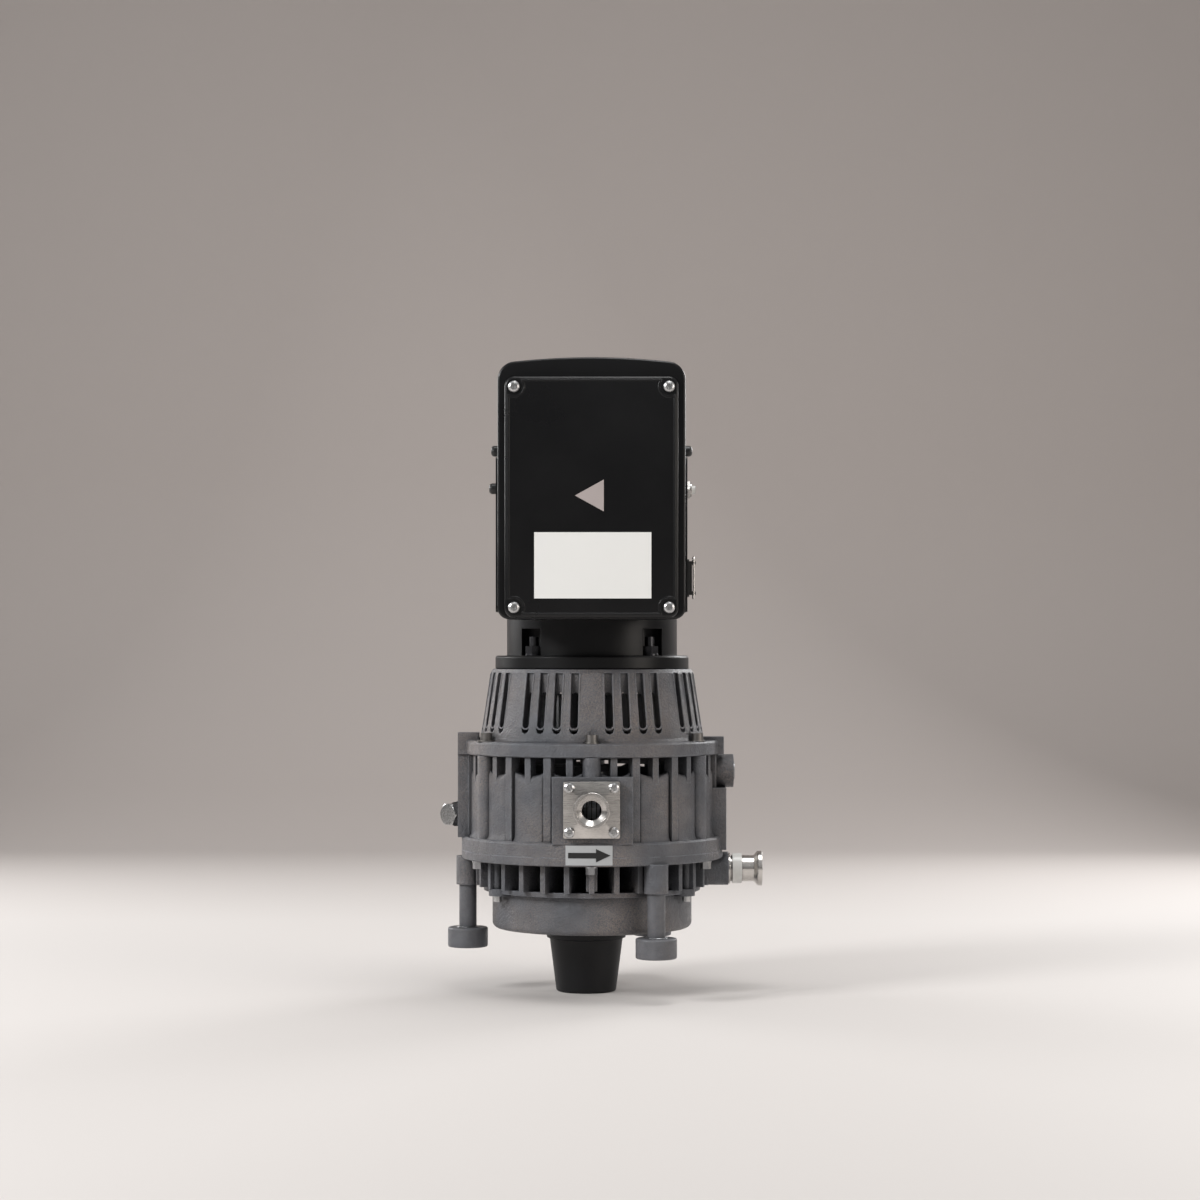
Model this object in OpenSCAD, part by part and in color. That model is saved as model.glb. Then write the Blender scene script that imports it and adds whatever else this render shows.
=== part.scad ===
// Dry scroll vacuum pump that stands upright, in millimetres.
// The origin is on the pump's axis at the foot of the stand, +Z is up, and the inlet faces -Y.
// A position angle is measured from the front (-Y) towards the right (+X).

/* [Stand] */
// Height of the tapered post under the pump
post_h = 55.5; // [50:0.5:65]
// Diameter of the post where it meets the table
post_base_d = 52; // [46:1:60]
// Diameter of the post's top
post_top_d = 70; // [66:1:76]
// How far the post stands left of the pump's axis
post_shift = 5; // [0:0.5:8]

/* [Feet] */
// Radius of the circle on which the three feet stand
foot_circle_r = 107.3; // [104:0.1:112]
// Diameter of a foot
foot_d = 34.5; // [30:0.5:40]
// Thickness of a foot
foot_t = 17; // [12:0.5:20]
// Diameter of a leg
leg_d = 15; // [13:0.5:17]
// Length of a leg between foot and lug
leg_len = 37; // [32:0.5:42]
// Diameter of the lug above a leg
lug_d = 20; // [18:0.5:23]
// Diameter of the bolt through foot and leg
foot_bolt_d = 8; // [6:0.5:8]

/* [Lower cover] */
// Height of the drum-shaped cover
cover_h = 36.5; // [32:0.5:40]
// Outer radius of the drum
drum_r = 86; // [83:0.5:88]
// Outer radius of the drum's rim
rim_r = 93.4; // [91:0.1:95]
// Thickness of the rim
rim_t = 4; // [3:0.5:6]
// Wall of the drum
drum_wall = 3; // [2:0.5:4]

/* [Fixed scroll] */
// Height of the cooling fins under the floor
fin_h = 23.5; // [20:0.5:26]
// Number of cooling fins in a full turn
fin_count = 30; // [24:6:36]
// Thickness of a cooling fin
fin_t = 4.4; // [3.5:0.1:5]
// Radius of the joint flanges
flange_r = 112.5; // [111:0.5:115]
// Thickness of the lower joint flange and floor
floor_t = 7.2; // [6:0.1:9]
// Pitch of the spiral wraps
wrap_pitch = 14; // [13:0.5:15]
// Thickness of a wrap
wrap_t = 4; // [3.5:0.1:4.2]
// Height of a wrap
wrap_h = 30; // [26:0.5:32]
// Least gap between the wraps, sideways and at their tips
wrap_gap = 0.4; // [0.3:0.05:0.6]
// Turns of a wrap, counted from the base circle
wrap_turns = 5; // [4.5:0.5:5]

/* [Main housing] */
// Thickness of the upper joint flange
housing_flange_t = 12.1; // [10:0.1:14]
// Height of the ribbed wall
wall_h = 70.2; // [66:0.1:76]
// Outer radius of the ribbed wall
wall_r = 104; // [103:0.5:105]
// Thickness of the ribbed wall
wall_t = 6; // [5:0.5:7]
// Radius that the ribs reach
rib_r = 108; // [107:0.5:109.5]
// Thickness of a rib
rib_t = 6.5; // [5:0.5:7.5]
// Height of the windows under the ring
window_h = 15.5; // [12:0.5:18]

/* [Ring and bell] */
// Outer radius of the ring
ring_r = 110; // [109:0.5:112]
// Thickness of the ring
ring_t = 12; // [10:0.5:14]
// Outer radius of the bell's foot
bell_r = 96; // [94:0.5:97]
// Outer radius of the bell's top
bell_top_r = 87; // [86:0.5:89]
// Height of the bell
bell_h = 61; // [56:0.5:66]
// Thickness of the bell
bell_wall = 7; // [6:0.5:8]
// Width of an air slot
slot_w = 7.6; // [6.5:0.1:8]
// Height of an air slot
slot_h = 35; // [30:0.5:38]
// Positions of air slots around the bell, of which one in five stays solid
slot_places = 40; // [30:5:40]

/* [Motor] */
// Radius of the black motor flange
plate_r = 83.5; // [82:0.5:85]
// Thickness of the black motor flange
plate_t = 11.5; // [10:0.5:14]
// Radius of the motor's frame
motor_r = 73.5; // [71:0.5:75]
// Length of the motor's frame
motor_len = 168; // [150:1:176]
// Circle of the studs through the motor flange
stud_circle_r = 69; // [67:0.5:71]
// Diameter of the main shaft in its bearings
shaft_d = 20; // [18:1:20]

/* [Control box] */
// Width of the box
box_w = 154; // [146:1:160]
// Height of the box's straight sides
box_side_h = 196; // [186:1:206]
// Rise of the arched top
box_arch_h = 19; // [14:1:22]
// Depth of the box without its cover
box_depth = 52; // [46:1:56]
// Wall of the box
box_wall = 3; // [2:0.5:4]
// Height of the box's bottom above the motor flange
box_lift = 30; // [28:0.5:36]
// Thickness of the front cover
lid_t = 7; // [6:0.5:9]
// Width of the front cover
lid_w = 142; // [138:0.5:144]
// Height of the front cover
lid_h = 197; // [190:0.5:198]
// Distance of the cover screws across the box
lid_screw_x = 126.5; // [120:0.5:130]
// Distance of the cover screws up the box
lid_screw_z = 180; // [172:0.5:184]

/* [Ports] */
// Bore of the inlet
inlet_bore_d = 16; // [14:0.5:18]
// Height of the inlet above the split between the flanges
inlet_rise = 39.9; // [36:0.1:42]
// Side of the square inlet plate
inlet_plate = 46.8; // [46:0.1:52]
// Bolt spacing of the inlet plate
inlet_bolts = 36.8; // [35:0.1:39]
// Diameter of the clamp flanges on both ports
clamp_d = 30; // [28:0.5:32]
// Bore of the exhaust
exhaust_bore_d = 16; // [14:0.5:17]
// Length of the exhaust fitting outside its boss
exhaust_len = 29; // [26:0.5:34]

/* [Hidden] */
$fn = 48;

// Radial clearance of seated pieces, running fits and moving neighbours
fit = 0.05;
run = 0.05;
slack = 0.5;
// Depth by which a cut passes the face that it starts from
over = 1;

// Heights of the stack, from the table up
z_cover = post_h;
z_fin = z_cover + cover_h;
z_floor = z_fin + fin_h;
z_split = z_floor + floor_t;
z_wall = z_split + housing_flange_t;
z_ring = z_wall + wall_h;
z_bell = z_ring + ring_t;
z_plate = z_bell + bell_h;
z_motor = z_plate + plate_t;
z_motor_end = z_motor + motor_len;
z_foot = z_fin - leg_len - foot_t;
z_inlet = z_split + inlet_rise;
z_exhaust = z_floor - 9.9;
exhaust_way_d = exhaust_bore_d + 2;
inlet_way_d = inlet_bore_d + 2;

// Radius of the round hollow of the main housing
cavity_r = wall_r - wall_t;
// Eccentricity of every crank: what the wraps leave free
orbit_r = wrap_pitch / 2 - wrap_t - wrap_gap;
base_r = wrap_pitch / 360 * 180 / PI;
wrap_step = 12;

// Orbiting scroll, from its wrap's tip up
z_tip = z_split + wrap_gap;
z_disc = z_split + wrap_h + wrap_gap;
disc_t = 9;
z_disc_top = z_disc + disc_t;
disc_r = wrap_pitch * wrap_turns + wrap_t + orbit_r;
hub_r = 25;
hub_h = 20;
pin_d = 16;
crank_race_d = 32;
crank_race_h = 14;

// Idler cranks
idler_count = 3;
idler_boss_r = 10;
idler_r = cavity_r - idler_boss_r - orbit_r - 1.4;
idler_first = 120;
idler_pin_d = 7;
idler_race_d = 15;
idler_race_h = 5;
idler_boss_h = 4;
z_idler_web = z_disc_top + idler_boss_h + slack;
idler_web_t = 4;
z_idler_top = z_idler_web + idler_web_t + slack;

// Shaft: crank throw, counterweight and bearings
z_throw = z_disc_top + hub_h + slack;
throw_t = 7;
weight_t = 6;
bearing_d = 42;
bearing_t = 14;
bearing_lip = 3;
z_bearing = z_bell - bearing_t + bearing_lip;
hub_wall = 7;

// Joint bolts
flange_bolt_r = flange_r - 5.5;
flange_bolt_at = [0, 64, 116, 180, 244, 296];
flange_bolt_d = 6;
ring_bolt_r = ring_r - 7;
ring_bolt_at = [0, 60, 120, 180, 240, 300];
ring_bolt_d = 6;
cover_screw_r = drum_r + 6.4;
cover_screw_at = [60, 180, 300];
cover_screw_d = 4;
leg_at = [30, 150, 270];

// Places a child at position angle a, radius r and height z
module at(a, r, z = 0) {
    rotate([0, 0, a])
        translate([0, -r, z])
            children();
}

// Upright tube
module tube(r_out, r_in, h) {
    difference() {
        cylinder(r = r_out, h = h);
        translate([0, 0, -over])
            cylinder(r = r_in, h = h + 2 * over);
    }
}

// Points of an arc around [x, y]
function arc(x, y, r, a0, a1, n = 5) =
    [for (i = [0 : n]) [x + r * cos(a0 + (a1 - a0) * i / n), y + r * sin(a0 + (a1 - a0) * i / n)]];

// One wall of an involute wrap: the tangent's length is the arc unrolled plus a shift
function involute(shift, turn, angle) =
    let (length = base_r * angle * PI / 180 + shift)
    [base_r * cos(angle + turn) + length * sin(angle + turn),
     base_r * sin(angle + turn) - length * cos(angle + turn)];

function wrap_outline(half, turn, from, to) = concat(
    [for (a = [from : wrap_step : to]) involute(half, turn, a)],
    [for (a = [to : -wrap_step : from]) involute(-half, turn, a)]);

wrap_from = 456;
wrap_to = 360 * wrap_turns;

// A wrap of height h whose base circle stands at the origin
module wrap(thick, turn, from, to, h) {
    linear_extrude(h)
        polygon(wrap_outline(thick / 2, turn, from, to));
}

// Screw with a round head; its seat is at the origin and its shank points up
module screw_up(head_d, head_h, shank_d, shank_l) {
    translate([0, 0, -head_h])
        cylinder(d = head_d, h = head_h);
    translate([0, 0, -fit])
        cylinder(d = shank_d, h = shank_l + fit);
}

// Bolt with a hexagon head and a washer; its seat is at the origin, its shank points up
module bolt_up(flats, head_h, washer_d, washer_t, shank_d, shank_l) {
    translate([0, 0, -washer_t])
        cylinder(d = washer_d, h = washer_t);
    translate([0, 0, -washer_t - head_h])
        cylinder(d = flats / cos(30), h = head_h, $fn = 6);
    translate([0, 0, -fit])
        cylinder(d = shank_d, h = shank_l + fit);
}

module pedestal() {
    step_h = 10;
    step_in = 2.5;
    color([0.02, 0.02, 0.02])
        translate([-post_shift, 0, 0])
            rotate_extrude()
                polygon(concat(
                    [[0, 0]],
                    arc(post_base_d / 2 - 2, 2, 2, -90, 0),
                    [[post_top_d / 2 - step_in - 1, post_h - step_h],
                     [post_top_d / 2 - 1, post_h - step_h + 1],
                     [post_top_d / 2, post_h],
                     [0, post_h]]));
}

foot_seat = 8;
module foot_pads() {
    color([0.37, 0.38, 0.41])
        for (a = leg_at)
            at(a, foot_circle_r, z_foot)
                difference() {
                    rotate_extrude()
                        polygon(concat(
                            [[0, 0]],
                            arc(foot_d / 2 - 1.5, 1.5, 1.5, -90, 0, 3),
                            arc(foot_d / 2 - 1.5, foot_t - 1.5, 1.5, 0, 90, 3),
                            [[0, foot_t]]));
                    translate([0, 0, foot_t - foot_seat])
                        cylinder(d = leg_d + 2 * fit, h = foot_seat + over);
                    translate([0, 0, -over])
                        cylinder(d = foot_bolt_d + 0.8, h = foot_t + 2 * over);
                }
}

leg_stud_l = 14;
leg_thread_l = 22;
module legs() {
    color([0.40, 0.41, 0.44])
        for (a = leg_at)
            at(a, foot_circle_r, z_foot + foot_t - foot_seat)
                difference() {
                    union() {
                        cylinder(d = leg_d, h = leg_len + foot_seat);
                        cylinder(d = foot_bolt_d, h = leg_len + foot_seat + leg_stud_l);
                    }
                    translate([0, 0, -over])
                        cylinder(d = foot_bolt_d - 1.2, h = leg_thread_l + over);
                }
}

lobe_r = 10;
module fin_cover() {
    color([0.33, 0.35, 0.38])
        difference() {
            union() {
                translate([0, 0, z_cover])
                    rotate_extrude($fn = 96)
                        polygon(concat(
                            [[0, 0]],
                            arc(drum_r - 5, 5, 5, -90, 0),
                            [[drum_r, cover_h - rim_t],
                             [rim_r, cover_h - rim_t],
                             [rim_r, cover_h],
                             [drum_r - drum_wall, cover_h]],
                            [[drum_r - drum_wall, drum_wall + 4]],
                            [[drum_r - drum_wall - 4, drum_wall], [0, drum_wall]]));
                for (a = cover_screw_at)
                    at(a, cover_screw_r - 3, z_fin - rim_t - 2)
                        cylinder(r = lobe_r, h = rim_t + 2);
            }
            for (a = cover_screw_at)
                at(a, cover_screw_r, z_cover)
                    cylinder(d = cover_screw_d + 0.4, h = cover_h + over);
        }
}

cover_screw_l = 16;
module fin_cover_screws() {
    color([0.7, 0.7, 0.72])
        for (a = cover_screw_at)
            at(a, cover_screw_r, z_fin - rim_t - 2)
                screw_up(7, 5, cover_screw_d, cover_screw_l);
}

// Fixed scroll: floor, joint flange, upward wrap, fins below, lugs, exhaust duct and boss
fin_r0 = 30;
fin_r1 = rim_r + 7;
exhaust_boss_r = 14.35;
exhaust_boss_x = 117.6;
duct_r = 11.5;
port_r = 5.5;
groove_d = 2;
groove_w = 1.8;
seal_from = wrap_from + 36;
seal_to = wrap_to - 24;
module fixed_scroll() {
    color([0.36, 0.37, 0.40])
        difference() {
            union() {
                translate([0, 0, z_floor])
                    rotate_extrude($fn = 120)
                        polygon([[0, 0], [flange_r - 1, 0], [flange_r, 1],
                                 [flange_r, floor_t], [0, floor_t]]);
                translate([0, 0, z_split - 1])
                    wrap(wrap_t, 0, wrap_from, wrap_to, wrap_h + 1);
                for (i = [0 : fin_count - 1])
                    rotate([0, 0, i * 360 / fin_count])
                        translate([-fin_t / 2, fin_r0, z_fin])
                            cube([fin_t, fin_r1 - fin_r0, fin_h + 1]);
                translate([0, 0, z_fin])
                    tube(fin_r0 + 3, fin_r0 - 3, fin_h + 1);
                for (a = leg_at)
                    at(a, foot_circle_r, z_fin)
                        cylinder(d = lug_d, h = fin_h + 1);
                for (a = leg_at)
                    at(a, foot_circle_r, z_fin)
                        translate([-5, 2, 0])
                            cube([10, 16, fin_h + 1]);
                for (a = cover_screw_at)
                    at(a, cover_screw_r, z_fin)
                        cylinder(d = 9, h = fin_h + 1);
                for (a = [0, 180])
                    at(a, flange_bolt_r - 9, z_fin + 2)
                        translate([-4.5, 0, 0])
                            cube([9, 12, fin_h]);
                translate([0, 0, z_exhaust])
                    rotate([0, 90, 0])
                        cylinder(r = duct_r, h = exhaust_boss_x);
                translate([rim_r + 1, 0, z_exhaust])
                    rotate([0, 90, 0])
                        cylinder(r = exhaust_boss_r, h = exhaust_boss_x - rim_r - 1);
            }
            // Nothing of the lugs, duct or boss stands above the split
            for (a = leg_at)
                at(a, foot_circle_r, z_fin - over)
                    cylinder(d = foot_bolt_d + 2 * fit, h = leg_stud_l + over + 1);
            for (a = cover_screw_at)
                at(a, cover_screw_r, z_fin - over)
                    cylinder(d = cover_screw_d + 2 * fit, h = cover_screw_l - rim_t - 1 + over);
            for (a = flange_bolt_at)
                at(a, flange_bolt_r, z_fin - over)
                    cylinder(d = flange_bolt_d + 0.6, h = fin_h + floor_t + 2 * over);
            for (a = flange_bolt_at)
                at(a, flange_bolt_r, z_fin - over)
                    cylinder(d = 13.5, h = fin_h + over);
            // Exhaust way: down from the wraps' centre, then out to the right
            translate([0, 0, z_exhaust])
                cylinder(r = port_r, h = z_split - z_exhaust + over);
            translate([0, 0, z_exhaust])
                rotate([0, 90, 0])
                    cylinder(d = exhaust_way_d, h = exhaust_boss_x + over);
            translate([exhaust_boss_x - exhaust_thread_l, 0, z_exhaust])
                rotate([0, 90, 0])
                    cylinder(r = exhaust_thread_r + fit, h = exhaust_thread_l + over);
            // Groove of the tip seal and of the joint seal
            translate([0, 0, z_split + wrap_h - groove_d])
                wrap(groove_w, 0, seal_from, seal_to, groove_d + over);
            translate([0, 0, z_split - seal_h])
                tube(seal_r + seal_h / 2 + fit, seal_r - seal_h / 2 - fit, seal_h + over);
        }
}

seal_h = 2.4;
seal_r = cavity_r + 3;
module joint_seal() {
    color([0.05, 0.05, 0.05])
        translate([0, 0, z_split - seal_h])
            tube(seal_r + seal_h / 2, seal_r - seal_h / 2, seal_h);
}

module fixed_tip_seal() {
    color([0.9, 0.88, 0.8])
        translate([0, 0, z_split + wrap_h - groove_d])
            wrap(groove_w - 2 * fit, 0, seal_from + wrap_step, seal_to - wrap_step, groove_d);
}

module flange_bolts() {
    color([0.45, 0.46, 0.48])
        for (a = flange_bolt_at)
            at(a, flange_bolt_r, z_floor)
                bolt_up(8.5, 5.4, 10.5, 1.2, flange_bolt_d, floor_t + housing_flange_t - 3);
}

// Orbiting scroll: disc, downward wrap, hub for the crank and three bosses for the idlers
module orbiting_scroll() {
    color([0.62, 0.64, 0.66])
        translate([orbit_r, 0, 0])
            difference() {
                union() {
                    translate([0, 0, z_disc])
                        cylinder(r = disc_r, h = disc_t, $fn = 96);
                    translate([0, 0, z_tip])
                        wrap(wrap_t, 180, wrap_from, wrap_to, wrap_h + 1);
                    translate([0, 0, z_disc_top - 1])
                        cylinder(r = hub_r, h = hub_h + 1);
                    for (a = [0 : 11])
                        rotate([0, 0, a * 30 + 15])
                            translate([-1.5, hub_r - 2, z_disc_top - 1])
                                cube([3, disc_r - hub_r - 6, 7]);
                    for (i = [0 : idler_count - 1])
                        at(idler_first * i + 180, idler_r, z_disc) {
                            cylinder(r = idler_boss_r, h = disc_t + idler_boss_h);
                            translate([-idler_boss_r + 1, 0, 0])
                                cube([2 * idler_boss_r - 2, idler_r - disc_r + 12, disc_t]);
                        }
                }
                translate([0, 0, z_disc_top + hub_h - crank_race_h])
                    cylinder(d = crank_race_d + 2 * fit, h = crank_race_h + over);
                translate([0, 0, z_disc_top + 1])
                    cylinder(d = pin_d + 4, h = hub_h);
                for (i = [0 : idler_count - 1])
                    at(idler_first * i + 180, idler_r, z_disc_top + idler_boss_h - idler_race_h) {
                        cylinder(d = idler_race_d + 2 * fit, h = idler_race_h + over);
                        translate([0, 0, -3])
                            cylinder(d = idler_pin_d + 3, h = idler_race_h);
                    }
                translate([0, 0, z_tip - over])
                    wrap(groove_w, 180, seal_from, seal_to, groove_d + over);
            }
}

module orbiting_tip_seal() {
    color([0.9, 0.88, 0.8])
        translate([orbit_r, 0, z_tip])
            wrap(groove_w - 2 * fit, 180, seal_from + wrap_step, seal_to - wrap_step, groove_d);
}

// Ball bearing drawn as two rings and a sealed ring of balls between them
module bearing(d_out, d_in, h) {
    wall = (d_out - d_in) / 6;
    difference() {
        cylinder(d = d_out, h = h);
        translate([0, 0, -over])
            cylinder(d = d_in, h = h + 2 * over);
        for (z = [-over, h - 0.6])
            translate([0, 0, z])
                tube(d_out / 2 - wall, d_in / 2 + wall, 0.6 + over);
    }
}

module crank_bearing() {
    color([0.72, 0.73, 0.75])
        translate([orbit_r, 0, z_disc_top + hub_h - crank_race_h])
            bearing(crank_race_d, pin_d + 2 * run, crank_race_h);
}

module orbit_idler_bearings() {
    color([0.72, 0.73, 0.75])
        translate([orbit_r, 0, 0])
            for (i = [0 : idler_count - 1])
                at(idler_first * i + 180, idler_r, z_disc_top + idler_boss_h - idler_race_h)
                    bearing(idler_race_d, idler_pin_d + 2 * slack, idler_race_h);
}

// Idler crank: a short web with a pin down into the orbiting scroll and a pin up into the ring
idler_lower_l = 6.5;
idler_upper_l = 13;
module idler_crank(i) {
    color([0.66, 0.67, 0.7])
        at(idler_first * i + 180, idler_r, z_idler_web)
            rotate([0, 0, -idler_first * i - 180]) {
                cylinder(d = idler_pin_d + 3, h = idler_web_t + 0.2);
                translate([orbit_r, 0, 0])
                    cylinder(d = idler_pin_d + 3, h = idler_web_t);
                cylinder(d = idler_pin_d, h = idler_web_t + slack + idler_upper_l);
                translate([orbit_r, 0, -idler_lower_l])
                    cylinder(d = idler_pin_d, h = idler_lower_l + 1);
            }
}
module idler_crank_1() { idler_crank(0); }
module idler_crank_2() { idler_crank(1); }
module idler_crank_3() { idler_crank(2); }

housing_race_h = 10;
module housing_idler_bearings() {
    color([0.72, 0.73, 0.75])
        for (i = [0 : idler_count - 1])
            at(idler_first * i + 180, idler_r, z_idler_top + 1)
                bearing(idler_race_d, idler_pin_d + 2 * run, housing_race_h);
}

// Angles of the full ribs, the bolt columns and the short ribs between the windows
rib_at = [20, 40, 80, 100, 140, 160, 200, 220, 260, 280, 320, 340];
short_rib_at = [for (a = [10 : 20 : 350]) a];
short_rib_t = 5.5;
column_r = 7.5;
inlet_pad_w = 67;
inlet_pad_shift = 0.6;
z_pad = z_wall;
inlet_pad_h = z_ring - window_h - z_wall;
inlet_face = flange_r - 2;
side_pad_x = 115;
side_pad_w = 52;
side_pad_h = 53;
side_boss_r = 14.3;
side_boss_x = 122;
side_boss_drop = 15;
side_plug_r = 8;
z_side_boss = z_ring - side_boss_drop;
ear_out = 115;
ear_w = 18;
ear_y = -15;
// Gas ballast port: a boss behind the left column that looks forward and left
ballast_turn = 42;
ballast_x = -125;
ballast_drop = 53;
ballast_r = 10.5;
ballast_head = 10;
ballast_collar_l = 7;
z_ballast = z_ring - ballast_drop;
ballast_boss_l = 25;

// Places a child on the ballast port: the face of the plug's head is at z = 0, the boss at z < 0
module at_ballast() {
    translate([ballast_x, 0, z_ballast])
        rotate([0, 0, -ballast_turn])
            rotate([90, 0, 0])
                children();
}

// Outer shell of the housing: flange, wall, ribs, columns, pads and bosses round the hollow
module housing_shell() {
    difference() {
        union() {
            translate([0, 0, z_split])
                rotate_extrude($fn = 120)
                    polygon([[0, 0], [flange_r, 0],
                             [flange_r, housing_flange_t - 1.5], [flange_r - 1.5, housing_flange_t],
                             [wall_r, housing_flange_t],
                             [wall_r, housing_flange_t + wall_h - window_h],
                             [0, housing_flange_t + wall_h - window_h]]);
            for (a = rib_at)
                at(a, rib_r, z_wall - 1)
                    translate([-rib_t / 2, 0, 0])
                        cube([rib_t, rib_r - cavity_r + 2, wall_h + 1]);
            for (a = short_rib_at)
                at(a, rib_r - 1.5, z_ring - window_h - 7)
                    translate([-short_rib_t / 2, 0, 0])
                        cube([short_rib_t, rib_r - cavity_r, window_h + 7]);
            for (a = ring_bolt_at)
                at(a, ring_bolt_r, z_wall - 1)
                    cylinder(r = column_r, h = wall_h + 1);
            // Pad of the inlet
            translate([-inlet_pad_w / 2 + inlet_pad_shift, -inlet_face, z_pad - 1])
                cube([inlet_pad_w, inlet_face - cavity_r + 8, inlet_pad_h + 1]);
            // Right pad, upper right boss and the column under the left ear
            translate([cavity_r - 8, -side_pad_w / 2, z_split + 0.5])
                cube([side_pad_x - cavity_r + 8, side_pad_w, side_pad_h]);
            translate([cavity_r - 6, 0, z_side_boss])
                rotate([0, 90, 0])
                    cylinder(r = side_boss_r, h = side_boss_x - cavity_r + 6);
            translate([-ear_out, ear_y - 6, z_wall - 1])
                cube([ear_out - cavity_r - 2, 12, wall_h + 1]);
            at_ballast()
                translate([0, 0, -ballast_head - ballast_collar_l - ballast_boss_l])
                    cylinder(r = ballast_r + 1.5, h = ballast_boss_l);
        }
        translate([0, 0, z_split - over])
            cylinder(r = cavity_r, h = z_ring - z_split + 2 * over, $fn = 120);
    }
}

// Deck under the ring: six spokes, the main bearing's hub and three idler bosses
module housing_deck() {
    for (a = ring_bolt_at)
        at(a, cavity_r + 2, z_ring - deck_t)
            translate([-6, 0, 0])
                cube([12, cavity_r - 20, deck_t]);
    translate([0, 0, z_bearing - 6])
        cylinder(r = bearing_d / 2 + hub_wall, h = bearing_t + 6);
    for (i = [0 : idler_count - 1])
        at(idler_first * i + 180, idler_r, z_idler_top)
            cylinder(r = idler_boss_r + 1, h = z_ring - z_idler_top - 0.5);
}

deck_t = 8;
module main_housing() {
    color([0.37, 0.38, 0.41])
        difference() {
            union() {
                housing_shell();
                housing_deck();
            }
            for (a = flange_bolt_at)
                at(a, flange_bolt_r, z_split - over)
                    cylinder(d = flange_bolt_d + 2 * fit, h = housing_flange_t - 2 + over);
            for (a = ring_bolt_at)
                at(a, ring_bolt_r, z_ring - ring_bolt_l + ring_t - 2)
                    cylinder(d = ring_bolt_d + 2 * fit, h = ring_bolt_l + over);
            // Seats of the main bearing, the shaft seal and the idlers' bearings
            translate([0, 0, z_bearing])
                cylinder(d = bearing_d + 2 * fit, h = bearing_t + over);
            translate([0, 0, z_bearing - 6 - over])
                cylinder(d = shaft_seal_d + 2 * fit, h = 6 + 2 * over);
            for (i = [0 : idler_count - 1])
                at(idler_first * i + 180, idler_r, z_idler_top - over) {
                    cylinder(d = idler_race_d + 2 * fit, h = housing_race_h + 1 + over);
                    cylinder(d = idler_pin_d + 3, h = housing_race_h + 6 + over);
                }
            // Inlet bore with the screen's seat and the holes of the plate's screws
            translate([0, -inlet_face - over, z_inlet])
                rotate([-90, 0, 0])
                    cylinder(d = inlet_way_d, h = inlet_face - cavity_r + 4);
            translate([0, -inlet_face - over, z_inlet])
                rotate([-90, 0, 0])
                    cylinder(d = screen_d + 2 * fit, h = screen_t + over);
            for (x = [-1, 1], z = [-1, 1])
                translate([x * inlet_bolts / 2, -inlet_face - over, z_inlet + z * inlet_bolts / 2])
                    rotate([-90, 0, 0])
                        cylinder(d = inlet_screw_d + 2 * fit, h = 9 + over);
            // Seat of the upper plug and the ballast port's bore
            translate([side_boss_x - 12, 0, z_side_boss])
                rotate([0, 90, 0])
                    cylinder(r = side_plug_r + fit, h = 12 + over);
            at_ballast()
                translate([0, 0, -ballast_head - ballast_collar_l - 14])
                    cylinder(d = 10 + 2 * fit, h = 14 + over);
        }
}

ring_bolt_l = 32;
ring_bolt_head = 6;
seat_cut = 0.3;
module ring_bolts() {
    color([0.5, 0.51, 0.53])
        for (a = ring_bolt_at)
            at(a, ring_bolt_r, z_bell - seat_cut) {
                translate([0, 0, -ring_bolt_l + fit])
                    cylinder(d = ring_bolt_d, h = ring_bolt_l);
                cylinder(d = a == 300 ? 15 : 12, h = 1.4);
                difference() {
                    cylinder(d = 10, h = 1.4 + ring_bolt_head);
                    translate([0, 0, 1.4 + ring_bolt_head - 3])
                        cylinder(d = 5.8, h = 3 + over, $fn = 6);
                }
            }
}

module lower_main_bearing() {
    color([0.72, 0.73, 0.75])
        translate([0, 0, z_bearing])
            bearing(bearing_d, shaft_d + 2 * run, bearing_t);
}

shaft_seal_d = 32;
module shaft_seal() {
    color([0.05, 0.05, 0.05])
        translate([0, 0, z_bearing - 5])
            tube(shaft_seal_d / 2, shaft_d / 2 + run, 5);
}

// Shaft in one piece: crank pin, throw, seats of fan, rotor and upper bearing
z_shaft_end = z_motor_end + 10;
weight_r = 58;
module main_shaft() {
    color([0.66, 0.67, 0.7]) {
        translate([orbit_r, 0, z_throw - slack - crank_race_h - 0.8])
            cylinder(d = pin_d, h = crank_race_h + slack + 1.8);
        translate([0, 0, z_throw])
            cylinder(d = 34, h = throw_t);
        translate([0, 0, z_throw + throw_t - over])
            cylinder(d = shaft_d, h = z_shaft_end - z_throw - throw_t + over);
    }
}

module counterweight() {
    color([0.45, 0.45, 0.47])
        translate([0, 0, z_throw + throw_t])
            difference() {
                union() {
                    cylinder(d = 34, h = weight_t);
                    intersection() {
                        cylinder(r = weight_r, h = weight_t);
                        translate([-weight_r - over, -weight_r - over, -over])
                            cube([weight_r - 8, 2 * weight_r + 2 * over, weight_t + 2 * over]);
                    }
                }
                translate([0, 0, -over])
                    cylinder(d = shaft_d + 2 * fit, h = weight_t + 2 * over);
            }
}

// Fan: hub, back plate and raked blades
fan_r = 74;
fan_blades = 12;
fan_h = 32;
z_fan = z_bell + 9;
module cooling_fan() {
    color([0.12, 0.12, 0.13])
        translate([0, 0, z_fan])
            difference() {
                union() {
                    cylinder(d = shaft_d + 14, h = fan_h);
                    cylinder(r = fan_r - 6, h = 2.5);
                    for (i = [0 : fan_blades - 1])
                        rotate([0, 0, i * 360 / fan_blades])
                            translate([-1, 12, 0])
                                rotate([0, 0, 8])
                                    cube([2, fan_r - 13, fan_h - 2]);
                }
                translate([0, 0, -over])
                    cylinder(d = shaft_d + 2 * fit, h = fan_h + 2 * over);
            }
}

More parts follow.
